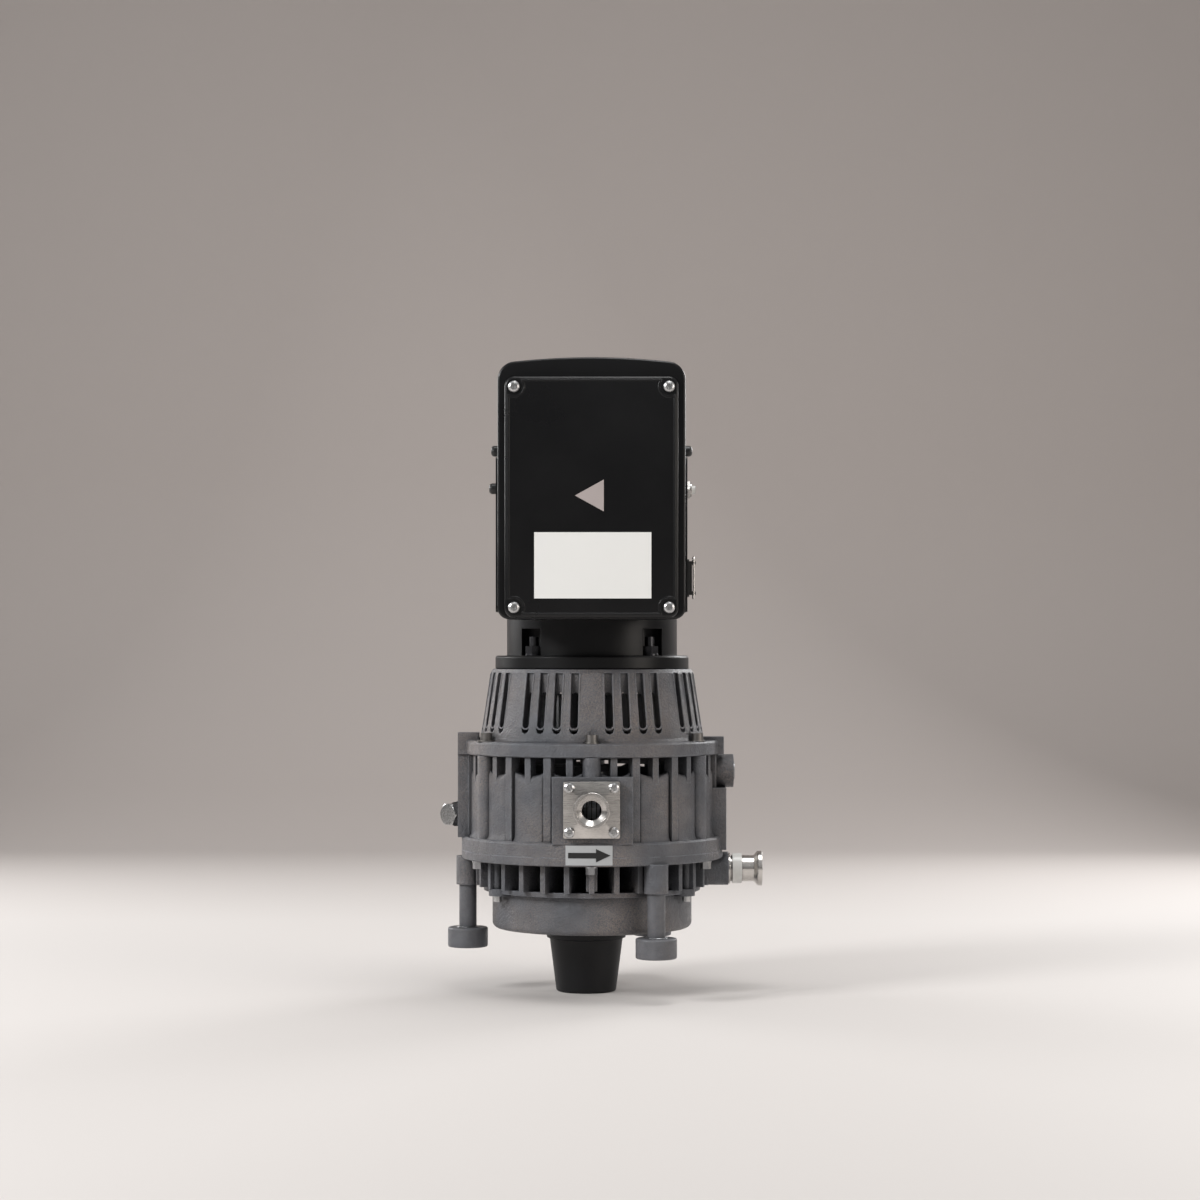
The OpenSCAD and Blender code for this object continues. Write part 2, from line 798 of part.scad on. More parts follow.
// Bell with its ring and ears; one slot place in five stays a solid rib
bell_foot = 5;
bell_top_t = 8;
slot_top_gap = 19;
bell_opening_r = 62;
module fan_housing() {
    slot_pitch = 360 / slot_places;
    color([0.37, 0.38, 0.41])
        difference() {
            union() {
                translate([0, 0, z_ring])
                    rotate_extrude($fn = 120)
                        polygon(concat(
                            [[bell_r - bell_wall, 0], [ring_r - 1, 0], [ring_r, 1],
                             [ring_r, ring_t - 1.5], [ring_r - 1.5, ring_t]],
                            arc(bell_r + bell_foot, ring_t + bell_foot, bell_foot, -90, -180, 4),
                            [[bell_top_r + 0.4, ring_t + bell_h - 3], [bell_top_r - 1.5, ring_t + bell_h],
                             [bell_opening_r, ring_t + bell_h],
                             [bell_opening_r, ring_t + bell_h - bell_top_t],
                             [bell_top_r - bell_wall, ring_t + bell_h - bell_top_t],
                             [bell_r - bell_wall, ring_t]]));
                // Left and right ears
                translate([-ear_out, ear_y - 8, z_ring])
                    cube([ear_w, 16, ring_t + 6.6]);
                translate([ear_out - 2 - ear_w, ear_y - 8, z_ring])
                    cube([ear_w, 16, ring_t + 3]);
            }
            for (i = [1 : slot_places])
                if (i % 5 != 0)
                    rotate([0, 0, i * slot_pitch])
                        slot_cut();
            for (a = ring_bolt_at)
                at(a, ring_bolt_r, z_ring - over)
                    cylinder(d = ring_bolt_d + 0.6, h = ring_t + 2 * over);
            for (a = ring_bolt_at)
                at(a, ring_bolt_r, z_bell - seat_cut)
                    cylinder(d = 16, h = 12);
            for (a = stud_at)
                at(a, stud_circle_r, z_plate - bell_top_t - over)
                    cylinder(d = stud_d + 2 * fit, h = bell_top_t + 2 * over);
        }
}

// Groove from the bell's shoulder down, and the opening with round ends below it
groove_in = 1;
groove_depth = 1.8;
module slot_cut() {
    z_low = z_plate - slot_top_gap - slot_h;
    r = slot_w / 2;
    translate([0, -bell_opening_r - 5, z_low])
        rotate([90, 0, 0])
            linear_extrude(bell_r - bell_opening_r)
                polygon(concat(arc(0, r, r, 180, 360, 4), arc(0, slot_h - r, r, 0, 180, 4)));
    translate([-r + groove_in / 2, -bell_r - 5, z_low + slot_w])
        cube([slot_w - groove_in, bell_r + 5 - bell_top_r + groove_depth, z_plate - 3 - z_low - slot_w]);
}

// Places a child on the front pad: z = 0 is the pad's face, +z looks at the viewer
module at_inlet() {
    translate([0, -inlet_face, z_inlet])
        rotate([90, 0, 0])
            children();
}

inlet_plate_t = 6;
inlet_neck = 7;
inlet_relief = 1;
clamp_t = 3.2;
inlet_screw_d = 5;
inlet_screw_head = 9.2;
screen_t = 6;
screen_d = 24;
screen_bar = 0.8;
module inlet_flange() {
    color([0.80, 0.79, 0.78])
        at_inlet()
            difference() {
                union() {
                    translate([-inlet_plate / 2, -inlet_plate / 2, 0])
                        cube([inlet_plate, inlet_plate, inlet_plate_t]);
                    rotate_extrude($fn = 64)
                        polygon(concat(
                            [[0, 0], [inlet_bore_d / 2 + 3, 0], [inlet_bore_d / 2 + 3, inlet_plate_t + inlet_neck - 2.4]],
                            [[clamp_d / 2 - 0.4, inlet_plate_t + inlet_neck],
                             [clamp_d / 2, inlet_plate_t + inlet_neck + 0.6],
                             [clamp_d / 2, inlet_plate_t + inlet_neck + clamp_t],
                             [0, inlet_plate_t + inlet_neck + clamp_t]]));
                }
                translate([0, 0, -over])
                    cylinder(d = inlet_bore_d, h = inlet_plate_t + inlet_neck + clamp_t + 2 * over);
                translate([0, 0, inlet_plate_t + inlet_neck + clamp_t - 1.6])
                    cylinder(d = inlet_bore_d + 1.6, h = 1.6 + over);
                translate([0, 0, -over])
                    cylinder(d = inlet_way_d, h = inlet_relief + over);
                for (x = [-1, 1], y = [-1, 1])
                    translate([x * inlet_bolts / 2, y * inlet_bolts / 2, -over])
                        cylinder(d = inlet_screw_d + 0.4, h = inlet_plate_t + 2 * over);
                translate([0, 0, -over])
                    tube(17 + fit, 15 - fit, 1.6 + over);
            }
}

module inlet_seal() {
    color([0.05, 0.05, 0.05])
        at_inlet()
            tube(17, 15, 1.6);
}

// Screen behind the plate: a ring with a cross of bars
module inlet_screen() {
    color([0.7, 0.7, 0.7])
        at_inlet()
            translate([0, 0, -screen_t]) {
                tube(screen_d / 2, inlet_way_d / 2, screen_t);
                for (x = [-4, 0, 4])
                    translate([x - screen_bar / 2, -inlet_way_d / 2 - 1, 0])
                        cube([screen_bar, inlet_way_d + 2, screen_bar]);
            }
}

module inlet_screws() {
    color([0.75, 0.75, 0.76])
        at_inlet()
            for (x = [-1, 1], y = [-1, 1])
                translate([x * inlet_bolts / 2, y * inlet_bolts / 2, inlet_plate_t])
                    cross_screw(inlet_screw_head, 3.2, inlet_screw_d, inlet_plate_t + 8);
}

// Pan-head screw with a cross recess; its seat is at z = 0 and its shank points down
module cross_screw(head_d, head_h, shank_d, shank_l) {
    difference() {
        union() {
            rotate_extrude()
                polygon([[0, 0], [head_d / 2, 0], [head_d / 2, head_h * 0.4],
                         [head_d * 0.44, head_h * 0.72], [head_d * 0.3, head_h * 0.95],
                         [0, head_h]]);
            translate([0, 0, -shank_l])
                cylinder(d = shank_d, h = shank_l + fit);
        }
        for (a = [0, 90])
            rotate([0, 0, a])
                translate([-head_d * 0.28, -head_d * 0.06, head_h * 0.45])
                    cube([head_d * 0.56, head_d * 0.12, head_h]);
    }
}

// Places a child on the exhaust boss, +z points to the right
module at_exhaust() {
    translate([exhaust_boss_x, 0, z_exhaust])
        rotate([0, 90, 0])
            children();
}

exhaust_collar_l = 8;
exhaust_thread_l = 12;
exhaust_thread_r = 11;
module exhaust_fitting() {
    l = exhaust_len;
    color([0.80, 0.79, 0.78])
        at_exhaust()
            difference() {
                union() {
                    rotate_extrude($fn = 64)
                        polygon([[0, -exhaust_thread_l], [exhaust_thread_r - 0.8, -exhaust_thread_l],
                                 [exhaust_thread_r, -exhaust_thread_l + 0.8], [exhaust_thread_r, 0],
                                 [exhaust_boss_r - 1, 0], [exhaust_boss_r - 1, 1.6],
                                 [11.3, 1.6], [11.3, l - 7],
                                 [clamp_d / 2 - 0.4, l - clamp_t - 1], [clamp_d / 2, l - clamp_t],
                                 [clamp_d / 2, l], [0, l]]);
                }
                translate([0, 0, -exhaust_thread_l - over])
                    cylinder(d = exhaust_bore_d, h = exhaust_thread_l + l + 2 * over);
            }
}

module exhaust_collar() {
    color([0.85, 0.85, 0.84])
        at_exhaust()
            translate([0, 0, 3.6])
                tube(13, 11.3 + fit, exhaust_collar_l);
}

module ballast_plug() {
    flats = 18;
    color([0.62, 0.62, 0.62])
        at_ballast() {
            intersection() {
                translate([0, 0, -ballast_head])
                    cylinder(d = flats / cos(30), h = ballast_head, $fn = 6);
                translate([0, 0, -ballast_head])
                    rotate_extrude()
                        polygon([[0, 0], [flats / 2 + 2, 0], [flats / 2 + 2, ballast_head - 1.6],
                                 [flats / 2 - 0.2, ballast_head], [0, ballast_head]]);
            }
            translate([0, 0, -ballast_head - ballast_collar_l - 12])
                cylinder(d = 10, h = 12 + ballast_collar_l + fit);
        }
}

module ballast_collar() {
    color([0.05, 0.05, 0.05])
        at_ballast()
            translate([0, 0, -ballast_head - ballast_collar_l])
                tube(ballast_r, 5 + fit, ballast_collar_l);
}

module side_plug() {
    color([0.7, 0.7, 0.7])
        translate([side_boss_x - 10, 0, z_side_boss])
            rotate([0, 90, 0])
                difference() {
                    cylinder(r = side_plug_r, h = 11);
                    translate([0, 0, 6])
                        cylinder(d = 8, h = 5 + over, $fn = 6);
                }
}

sticker_t = 0.4;
module side_sticker() {
    color([0.9, 0.9, 0.89])
        translate([side_pad_x, -side_pad_w / 2 + 4, z_split + 1])
            cube([sticker_t, side_pad_w - 8, 31]);
}

sticker_from = -11;
sticker_to = 8.8;
sticker_h = floor_t + housing_flange_t - 3;
module arrow_sticker() {
    color([0.72, 0.73, 0.74])
        translate([0, 0, z_floor + 1.3])
            rotate([0, 0, sticker_from - 90])
                rotate_extrude(angle = sticker_to - sticker_from, $fn = 120)
                    translate([flange_r, 0])
                        square([sticker_t, sticker_h]);
}

// The arrow gives the direction of turning: a shaft and a head, bent round the flange
module flow_arrow() {
    shaft_h = 4.6;
    head_h = 11;
    head_l = 12;
    left = -19.4;
    right = 15.6;
    color([0.03, 0.03, 0.03])
        intersection() {
            translate([0, 0, z_floor])
                tube(flange_r + sticker_t + 0.2, flange_r + sticker_t, sticker_h + 3, $fn = 120);
            translate([0, -flange_r + 10, z_floor + 1.3 + sticker_h / 2])
                rotate([90, 0, 0])
                    linear_extrude(20)
                        polygon([[left, -shaft_h / 2], [right - head_l, -shaft_h / 2],
                                 [right - head_l, -head_h / 2], [right, 0],
                                 [right - head_l, head_h / 2], [right - head_l, shaft_h / 2],
                                 [left, shaft_h / 2]]);
        }
}

// Black flange under the motor, with a spigot into the bell
stud_d = 8;
stud_at = [45, 135, 225, 315];
spigot_h = 6;
module motor_flange() {
    color([0.02, 0.02, 0.02])
        difference() {
            union() {
                translate([0, 0, z_plate])
                    rotate_extrude($fn = 96)
                        polygon([[0, 0], [plate_r - 1, 0], [plate_r, 1], [plate_r, plate_t - 1.5],
                                 [plate_r - 1.5, plate_t], [0, plate_t]]);
                translate([0, 0, z_plate - spigot_h])
                    cylinder(r = bell_opening_r - fit, h = spigot_h + 1);
            }
            translate([0, 0, z_plate - spigot_h - over])
                cylinder(d = shaft_d + 2 * slack, h = spigot_h + plate_t + 2 * over);
            for (a = stud_at)
                at(a, stud_circle_r, z_plate - over)
                    cylinder(d = stud_d + 0.6, h = plate_t + 2 * over);
        }
}

module motor_stud_nuts() {
    stud_up = 16;
    color([0.72, 0.72, 0.73])
        for (a = stud_at)
            at(a, stud_circle_r, z_motor) {
                translate([0, 0, -plate_t - bell_top_t + 0.5])
                    cylinder(d = stud_d, h = plate_t + bell_top_t + stud_up - 0.5);
                cylinder(d = 15, h = 1.6);
                translate([0, 0, 1.6])
                    cylinder(d = 13 / cos(30), h = 6.5, $fn = 6);
            }
}

// Motor frame: end shield with recesses for the nuts, ribbed barrel, pad for the control box
frame_wall = 5;
barrel_r = motor_r - 6;
shield_h = 32;
recess_r = 12;
recess_h = 23;
shield_bore_r = stud_circle_r - recess_r - 2;
pad_w = 92;
pad_z = 26;
pad_h = 110;
box_gap = 3;
y_box_back = -motor_r - box_gap;
cable_hole_d = 24;
end_cap_h = 26;
module motor_frame() {
    color([0.03, 0.03, 0.03])
        difference() {
            union() {
                translate([0, 0, z_motor])
                    cylinder(r = motor_r, h = shield_h, $fn = 96);
                translate([0, 0, z_motor])
                    cylinder(r = barrel_r, h = motor_len, $fn = 96);
                translate([0, 0, z_motor_end - 14])
                    cylinder(r = motor_r, h = 14, $fn = 96);
                for (a = [40 : 8 : 320])
                    at(a, motor_r, z_motor + shield_h - 1)
                        translate([-1.4, 0, 0])
                            cube([2.8, motor_r - barrel_r + 2, motor_len - shield_h - 12]);
                translate([-pad_w / 2, y_box_back, z_motor + shield_h + pad_z])
                    cube([pad_w, -y_box_back - barrel_r + 24, pad_h]);
            }
            translate([0, 0, z_motor + 8])
                cylinder(r = shield_bore_r, h = motor_len);
            translate([0, 0, z_motor + recess_h + 3])
                cylinder(r = barrel_r - frame_wall, h = motor_len);
            translate([0, 0, z_motor - over])
                cylinder(d = shaft_d + 2 * slack, h = 8 + 2 * over);
            for (a = stud_at)
                at(a, stud_circle_r, z_motor - over)
                    cylinder(r = recess_r, h = recess_h + over);
            translate([0, y_box_back - over, z_motor + shield_h + pad_z + pad_h / 2])
                rotate([-90, 0, 0])
                    cylinder(d = cable_hole_d, h = 40);
        }
}

module motor_end_cap() {
    r_in = barrel_r - frame_wall - fit;
    color([0.03, 0.03, 0.03])
        translate([0, 0, z_motor_end])
            difference() {
                union() {
                    rotate_extrude($fn = 96)
                        polygon(concat(
                            [[0, 0], [motor_r, 0]],
                            arc(motor_r - 14, end_cap_h - 14, 14, 0, 90, 6),
                            [[0, end_cap_h]]));
                    translate([0, 0, -4])
                        cylinder(r = r_in, h = 5);
                    translate([0, 0, -6])
                        cylinder(d = bearing_d + 10, h = 8);
                }
                translate([0, 0, -6 - over])
                    cylinder(d = bearing_d + 2 * fit, h = bearing_t + 2 + over);
                translate([0, 0, -over])
                    cylinder(d = shaft_d + 6, h = end_cap_h - 6 + over);
                rotate_extrude()
                    translate([bearing_d / 2 + 9, -5])
                        square([r_in - bearing_d / 2 - 13, end_cap_h - 2]);
            }
}

module upper_main_bearing() {
    color([0.72, 0.73, 0.75])
        translate([0, 0, z_motor_end - 4])
            bearing(bearing_d, shaft_d + 2 * run, bearing_t - 2);
}

// Stator: slotted core and the end turns of its windings
core_len = 92;
z_core = z_motor + 36;
core_r = barrel_r - frame_wall - fit;
bore_r = 37;
stator_slots = 18;
module stator_core() {
    color([0.5, 0.5, 0.52])
        translate([0, 0, z_core])
            difference() {
                tube(core_r, bore_r, core_len);
                for (i = [0 : stator_slots - 1])
                    rotate([0, 0, i * 360 / stator_slots])
                        translate([bore_r - over, -2.6, -over])
                            cube([13 + over, 5.2, core_len + 2 * over]);
            }
}

module stator_windings() {
    color([0.62, 0.33, 0.15])
        translate([0, 0, z_core]) {
            for (i = [0 : stator_slots - 1])
                rotate([0, 0, i * 360 / stator_slots])
                    translate([bore_r + 1.5, -2.5, -1])
                        cube([11, 5, core_len + 2]);
            for (z = [-15, core_len + 0.1])
                translate([0, 0, z])
                    rotate_extrude()
                        polygon(concat(
                            arc(bore_r + 5, 4, 4, 180, 270, 3),
                            arc(bore_r + 13, 4, 4, 270, 360, 3),
                            arc(bore_r + 13, 10.9, 4, 0, 90, 3),
                            arc(bore_r + 5, 10.9, 4, 90, 180, 3)));
        }
}

module motor_rotor() {
    color([0.45, 0.45, 0.47])
        translate([0, 0, z_core]) {
            tube(bore_r - slack, shaft_d / 2 + fit, core_len);
            for (z = [-5, core_len])
                translate([0, 0, z])
                    tube(bore_r - 4, bore_r - 12, 5);
        }
}

// Control box: outline with cut bottom corners and a crowned top
z_box = z_motor + box_lift;
box_cut = 7;
box_crown = 3.5;
function box_outline(w, side, rise, cut) =
    let (r = rise - box_crown, x0 = w / 2 - r)
    concat([[-w / 2 + cut, 0], [w / 2 - cut, 0], [w / 2, cut]],
           arc(x0, side, r, 0, 90, 6),
           [for (i = [1 : 11]) [x0 * (1 - i / 6), side + r + box_crown * (1 - pow(1 - i / 6, 2))]],
           arc(-x0, side, r, 90, 180, 6),
           [[-w / 2, cut]]);

// Places a child on the back wall of the box: z = 0 is its back, +z looks at the viewer
module at_box() {
    translate([0, y_box_back, z_box])
        rotate([90, 0, 0])
            children();
}

lid_lift = 1;
lid_z0 = lid_lift;
lid_corner = 8;
lid_screw_at = [for (x = [-1, 1], z = [-1, 1])
    [x * lid_screw_x / 2, lid_z0 + lid_h / 2 + z * lid_screw_z / 2]];
lid_screw_d = 4;
post_screw_r = 5.5;
rim_depth = 4;
lid_rim = 6;
module control_box() {
    inner_w = box_w - 2 * box_wall;
    color([0.03, 0.03, 0.03])
        difference() {
            at_box()
                difference() {
                    linear_extrude(box_depth)
                        polygon(box_outline(box_w, box_side_h, box_arch_h, box_cut));
                    difference() {
                        union() {
                            translate([0, box_wall, box_wall])
                                linear_extrude(box_depth - box_wall - rim_depth)
                                    polygon(box_outline(inner_w, box_side_h - 12, box_arch_h - 2, box_cut));
                            translate([0, lid_z0 + lid_h / 2, box_depth - rim_depth - over])
                                rounded_block(lid_w - 2 * lid_rim, lid_h - 2 * lid_rim, rim_depth + 2 * over,
                                              lid_corner - 3);
                        }
                        for (p = lid_screw_at)
                            translate([p[0], p[1], 0])
                                cylinder(r = post_screw_r, h = box_depth);
                    }
                    for (p = lid_screw_at)
                        translate([p[0], p[1], box_depth - 16])
                            cylinder(d = lid_screw_d + 2 * fit, h = 16 + over);
                    translate([0, cable_y, -over])
                        cylinder(d = cable_hole_d, h = box_wall + 2 * over);
                }
            // Openings in the right wall for the power inlet and the button
            at_side(1, inlet_z0, inlet_y)
                translate([0, 0, -box_wall - over])
                    rounded_block(socket_w + 2 * fit, socket_h + 2 * fit, box_wall + over + 1, 2);
            at_side(1, button_z, button_y)
                translate([0, 0, -box_wall - over])
                    cylinder(d = button_thread_d + 2 * fit, h = box_wall + over + 1);
        }
}
cable_y = shield_h + pad_z + pad_h / 2 - box_lift;

// Block centred on the origin in x and y, with rounded corners
module rounded_block(w, h, t, r) {
    translate([-w / 2 + r, -h / 2, 0])
        cube([w - 2 * r, h, t]);
    translate([-w / 2, -h / 2 + r, 0])
        cube([w, h - 2 * r, t]);
    for (x = [-1, 1], y = [-1, 1])
        translate([x * (w / 2 - r), y * (h / 2 - r), 0])
            cylinder(r = r, h = t, $fn = 24);
}

module box_cover_seal() {
    color([0.06, 0.06, 0.06])
        at_box()
            translate([0, lid_z0 + lid_h / 2, box_depth])
                difference() {
                    rounded_block(lid_w - 3, lid_h - 3, 1, lid_corner);
                    translate([0, 0, -over])
                        rounded_block(lid_w - 9, lid_h - 9, 1 + 2 * over, lid_corner - 3);
                }
}

module box_cover() {
    color([0.03, 0.03, 0.03])
        at_box()
            difference() {
                union() {
                    translate([0, lid_z0 + lid_h / 2, box_depth + 1])
                        difference() {
                            rounded_block(lid_w, lid_h, lid_t - 1, lid_corner);
                            translate([0, 0, -over])
                                rounded_block(lid_w - 9, lid_h - 9, lid_t - 3.5 + over, lid_corner - 2);
                        }
                    for (p = lid_screw_at)
                        translate([p[0], p[1], box_depth + 1])
                            cylinder(r = post_screw_r, h = lid_t - 2);
                }
                for (p = lid_screw_at)
                    translate([p[0], p[1], box_depth - over])
                        cylinder(d = lid_screw_d + 0.4, h = lid_t + 2 * over);
            }
}

module box_cover_screws() {
    color([0.78, 0.78, 0.78])
        at_box()
            for (p = lid_screw_at)
                translate([p[0], p[1], box_depth + lid_t])
                    cross_screw(9.5, 3, lid_screw_d, lid_t + 12);
}

board_t = 2;
board_lift = 10;
module drive_board() {
    w = box_w - 2 * box_wall - 22;
    h = box_side_h - 58;
    color([0.1, 0.35, 0.2])
        at_box()
            translate([0, box_side_h / 2 + 14, box_wall]) {
                translate([-w / 2, -h / 2, board_lift])
                    cube([w, h, board_t]);
                for (x = [-1, 1], y = [-1, 1])
                    translate([x * (w / 2 - 6), y * (h / 2 - 6), 0])
                        cylinder(d = 8, h = board_lift + 0.5);
                for (i = [0 : 5])
                    translate([-w / 2 + 12 + i * 15, h / 2 - 34, board_lift + board_t - 0.5])
                        cube([3, 24, 16]);
                translate([-w / 2 + 12, h / 2 - 40, board_lift + board_t - 0.5])
                    cube([85, 5, 20]);
                translate([w / 2 - 30, -20, board_lift + board_t - 0.5])
                    cube([22, 30, 14]);
            }
}

module run_capacitor() {
    color([0.2, 0.22, 0.3])
        at_box()
            for (x = [-22, 14])
                translate([x, 34 + 14 + 10, box_wall + board_lift + board_t])
                    cylinder(d = 26, h = 26);
}

// Places a child on a side wall: side is 1 right or -1 left, z0 is measured from the box's bottom,
// y from its back; +z of the child looks away from the wall
module at_side(side, z0, y) {
    translate([side * box_w / 2, y_box_back - y, z_box + z0])
        rotate([0, 0, side > 0 ? 90 : -90])
            rotate([90, 0, 0])
                children();
}

side_plate_t = 1.6;
side_plate_w = 36;
side_plate_z0 = 6;
side_plate_h = 127;
side_mid_y = box_depth / 2 + 2;
socket_w = 20;
socket_h = 27;
inlet_z0 = 34;
inlet_y = side_mid_y;
button_z = 107;
button_y = side_mid_y;
button_thread_d = 12;
button_d = 7;
button_travel = 2;
module side_plates() {
    color([0.04, 0.04, 0.04])
        for (side = [-1, 1])
            difference() {
                at_side(side, side_plate_z0 + side_plate_h / 2, side_mid_y)
                    rounded_block(side_plate_w, side_plate_h, side_plate_t, 3);
                if (side > 0)
                    at_side(1, inlet_z0, inlet_y)
                        translate([0, 0, -over])
                            rounded_block(socket_w + 2 * fit, socket_h + 2 * fit, 4, 2);
                if (side > 0)
                    at_side(1, button_z, button_y)
                        translate([0, 0, -over])
                            cylinder(d = button_thread_d + 2 * fit, h = 4);
            }
}

// Black domed caps: two on the left, one on the right
knob_d = 9;
knob_h = 6;
knob_left = [139, 108];
knob_right = [139];
module knob(lift) {
    translate([0, 0, lift])
        rotate_extrude()
            polygon(concat([[0, 0], [knob_d / 2, 0]],
                           arc(knob_d / 2 - 2.5, knob_h - 2.5, 2.5, 0, 90, 4),
                           [[0, knob_h]]));
}
module side_knobs() {
    color([0.03, 0.03, 0.03]) {
        for (z = knob_left)
            at_side(-1, z, side_mid_y)
                knob(z < side_plate_z0 + side_plate_h ? side_plate_t : 0);
        for (z = knob_right)
            at_side(1, z, side_mid_y)
                knob(z < side_plate_z0 + side_plate_h ? side_plate_t : 0);
    }
}

plate_label_w = 95.5;
plate_label_h = 54;
plate_label_z = 43.8;
label_t = 0.5;
module rating_plate() {
    color([0.86, 0.86, 0.85])
        at_box()
            translate([1, plate_label_z, box_depth + lid_t])
                translate([-plate_label_w / 2, -plate_label_h / 2, 0])
                    cube([plate_label_w, plate_label_h, label_t]);
}

front_plate_z = 100.7;
module front_plate() {
    color([0.6, 0.58, 0.57])
        at_box()
            translate([1, front_plate_z, box_depth + lid_t])
                linear_extrude(label_t)
                    polygon([[-14.5, 0], [9, -13], [9, 13]]);
}

// Power inlet: a shrouded socket with three pins, and a wire bail that swings over the plug
socket_depth = 14;
socket_lip = 4;
pin_l = 10;
bail_ear_w = 2.8;
module power_inlet() {
    color([0.04, 0.04, 0.04])
        at_side(1, inlet_z0, inlet_y) {
            difference() {
                union() {
                    translate([0, 0, -socket_depth - 2])
                        rounded_block(socket_w, socket_h, socket_depth + 2 + side_plate_t + socket_lip, 2);
                    translate([0, 0, side_plate_t])
                        rounded_block(socket_w + 6, socket_h + 4, 1.6, 2);
                    for (y = [-1, 1])
                        translate([-bail_pivot_x - 3, y * (socket_h / 2 - 1) - bail_ear_w / 2, side_plate_t])
                            cube([6, bail_ear_w, bail_z + 2]);
                }
                translate([0, 0, -socket_depth])
                    rounded_block(socket_w - 4, socket_h - 3, 40, 2);
                for (y = [-1, 1])
                    translate([-bail_pivot_x, y * (socket_h / 2 - 1) - bail_ear_w / 2 - over, side_plate_t + bail_z])
                        rotate([-90, 0, 0])
                            cylinder(d = bail_d + 2 * run, h = bail_ear_w + 2 * over);
            }
            for (p = [[0, 7], [-4, -2], [4, -2]])
                translate([p[0] - 1, p[1] - 2, -socket_depth - 1])
                    cube([2, 4, pin_l + 1]);
        }
}

// Wire bail, folded flat towards the front: two legs, a cross bar and two pins turned inwards
bail_d = 1.6;
bail_z = 5;
bail_pivot_x = 7;
bail_reach = 14;
bail_bend = 2.5;
module power_bail() {
    half = socket_h / 2 + 3.2;
    color([0.8, 0.8, 0.8])
        at_side(1, inlet_z0, inlet_y)
            translate([-bail_pivot_x, 0, side_plate_t + bail_z]) {
                for (y = [0, 1])
                    mirror([0, y, 0]) {
                        translate([0, half - 6, 0])
                            rotate([-90, 0, 0])
                                cylinder(d = bail_d, h = 6 - bail_bend);
                        translate([-bail_bend, half - bail_bend, 0])
                            rotate_extrude(angle = 90)
                                translate([bail_bend, 0])
                                    circle(d = bail_d);
                        translate([-bail_bend, half, 0])
                            rotate([0, -90, 0])
                                cylinder(d = bail_d, h = bail_reach - 2 * bail_bend);
                        translate([-bail_reach + bail_bend, half - bail_bend, 0])
                            rotate([0, 0, 90])
                                rotate_extrude(angle = 90)
                                    translate([bail_bend, 0])
                                        circle(d = bail_d);
                    }
                translate([-bail_reach, -half + bail_bend, 0])
                    rotate([-90, 0, 0])
                        cylinder(d = bail_d, h = 2 * (half - bail_bend));
            }
}

// Breaker: threaded body with a ring nut, and a button that is pressed in
module breaker_body() {
    color([0.7, 0.7, 0.7])
        at_side(1, button_z, button_y)
            difference() {
                union() {
                    translate([0, 0, -14])
                        cylinder(d = button_thread_d, h = 14 + side_plate_t + 4);
                    translate([0, 0, side_plate_t])
                        cylinder(d = 16, h = 2.6, $fn = 6);
                    translate([-8, -8, -16])
                        cube([16, 16, 16 - box_wall - fit]);
                }
                translate([0, 0, -10])
                    cylinder(d = button_d + 2 * run, h = 40);
            }
}

module reset_button() {
    color([0.85, 0.85, 0.83])
        at_side(1, button_z, button_y)
            translate([0, 0, -10 + button_travel + slack])
                cylinder(d = button_d, h = 10 - slack + side_plate_t + 5);
}

pedestal();
foot_pads();
legs();
fin_cover();
fin_cover_screws();
fixed_scroll();
fixed_tip_seal();
joint_seal();
flange_bolts();
orbiting_scroll();
orbiting_tip_seal();
crank_bearing();
orbit_idler_bearings();
idler_crank_1();
idler_crank_2();
idler_crank_3();
housing_idler_bearings();
main_housing();
ring_bolts();
lower_main_bearing();
shaft_seal();
main_shaft();
counterweight();
cooling_fan();
fan_housing();
inlet_flange();
inlet_seal();
inlet_screen();
inlet_screws();
exhaust_fitting();
exhaust_collar();
ballast_plug();
ballast_collar();
side_plug();
side_sticker();
arrow_sticker();
flow_arrow();
motor_flange();
motor_stud_nuts();
motor_frame();
motor_end_cap();
stator_core();
stator_windings();
motor_rotor();
upper_main_bearing();
control_box();
box_cover();
box_cover_seal();
box_cover_screws();
drive_board();
run_capacitor();
side_plates();
side_knobs();
rating_plate();
front_plate();
power_inlet();
power_bail();
breaker_body();
reset_button();
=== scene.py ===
"""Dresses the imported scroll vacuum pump: finishes for every node, modelled surfaces, light and camera."""

import logging
import math
from dataclasses import dataclass
from enum import Enum
from typing import Sequence

import bmesh
import bpy
import numpy as np
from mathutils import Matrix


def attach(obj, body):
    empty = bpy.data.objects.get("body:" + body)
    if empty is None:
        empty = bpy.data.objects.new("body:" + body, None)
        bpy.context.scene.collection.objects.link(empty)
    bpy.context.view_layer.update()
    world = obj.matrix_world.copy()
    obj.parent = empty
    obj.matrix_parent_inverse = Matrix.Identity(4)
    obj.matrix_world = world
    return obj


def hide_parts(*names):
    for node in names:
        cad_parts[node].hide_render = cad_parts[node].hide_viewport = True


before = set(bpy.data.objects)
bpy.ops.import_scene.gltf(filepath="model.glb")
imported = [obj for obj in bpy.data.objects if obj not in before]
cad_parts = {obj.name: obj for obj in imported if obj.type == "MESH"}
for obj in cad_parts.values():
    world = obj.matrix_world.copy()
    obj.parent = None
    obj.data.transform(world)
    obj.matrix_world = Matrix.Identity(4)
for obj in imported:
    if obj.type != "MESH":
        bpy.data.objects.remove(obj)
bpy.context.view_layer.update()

LOG = logging.getLogger("scroll_pump")
MM = 0.001
# Points nearer to each other than this, in metres, become one
SEAM = 1e-6
# Radius in mm of the tiny hole that a turned post keeps at its axis
AXIS = 0.01
Colour = tuple[float, float, float]


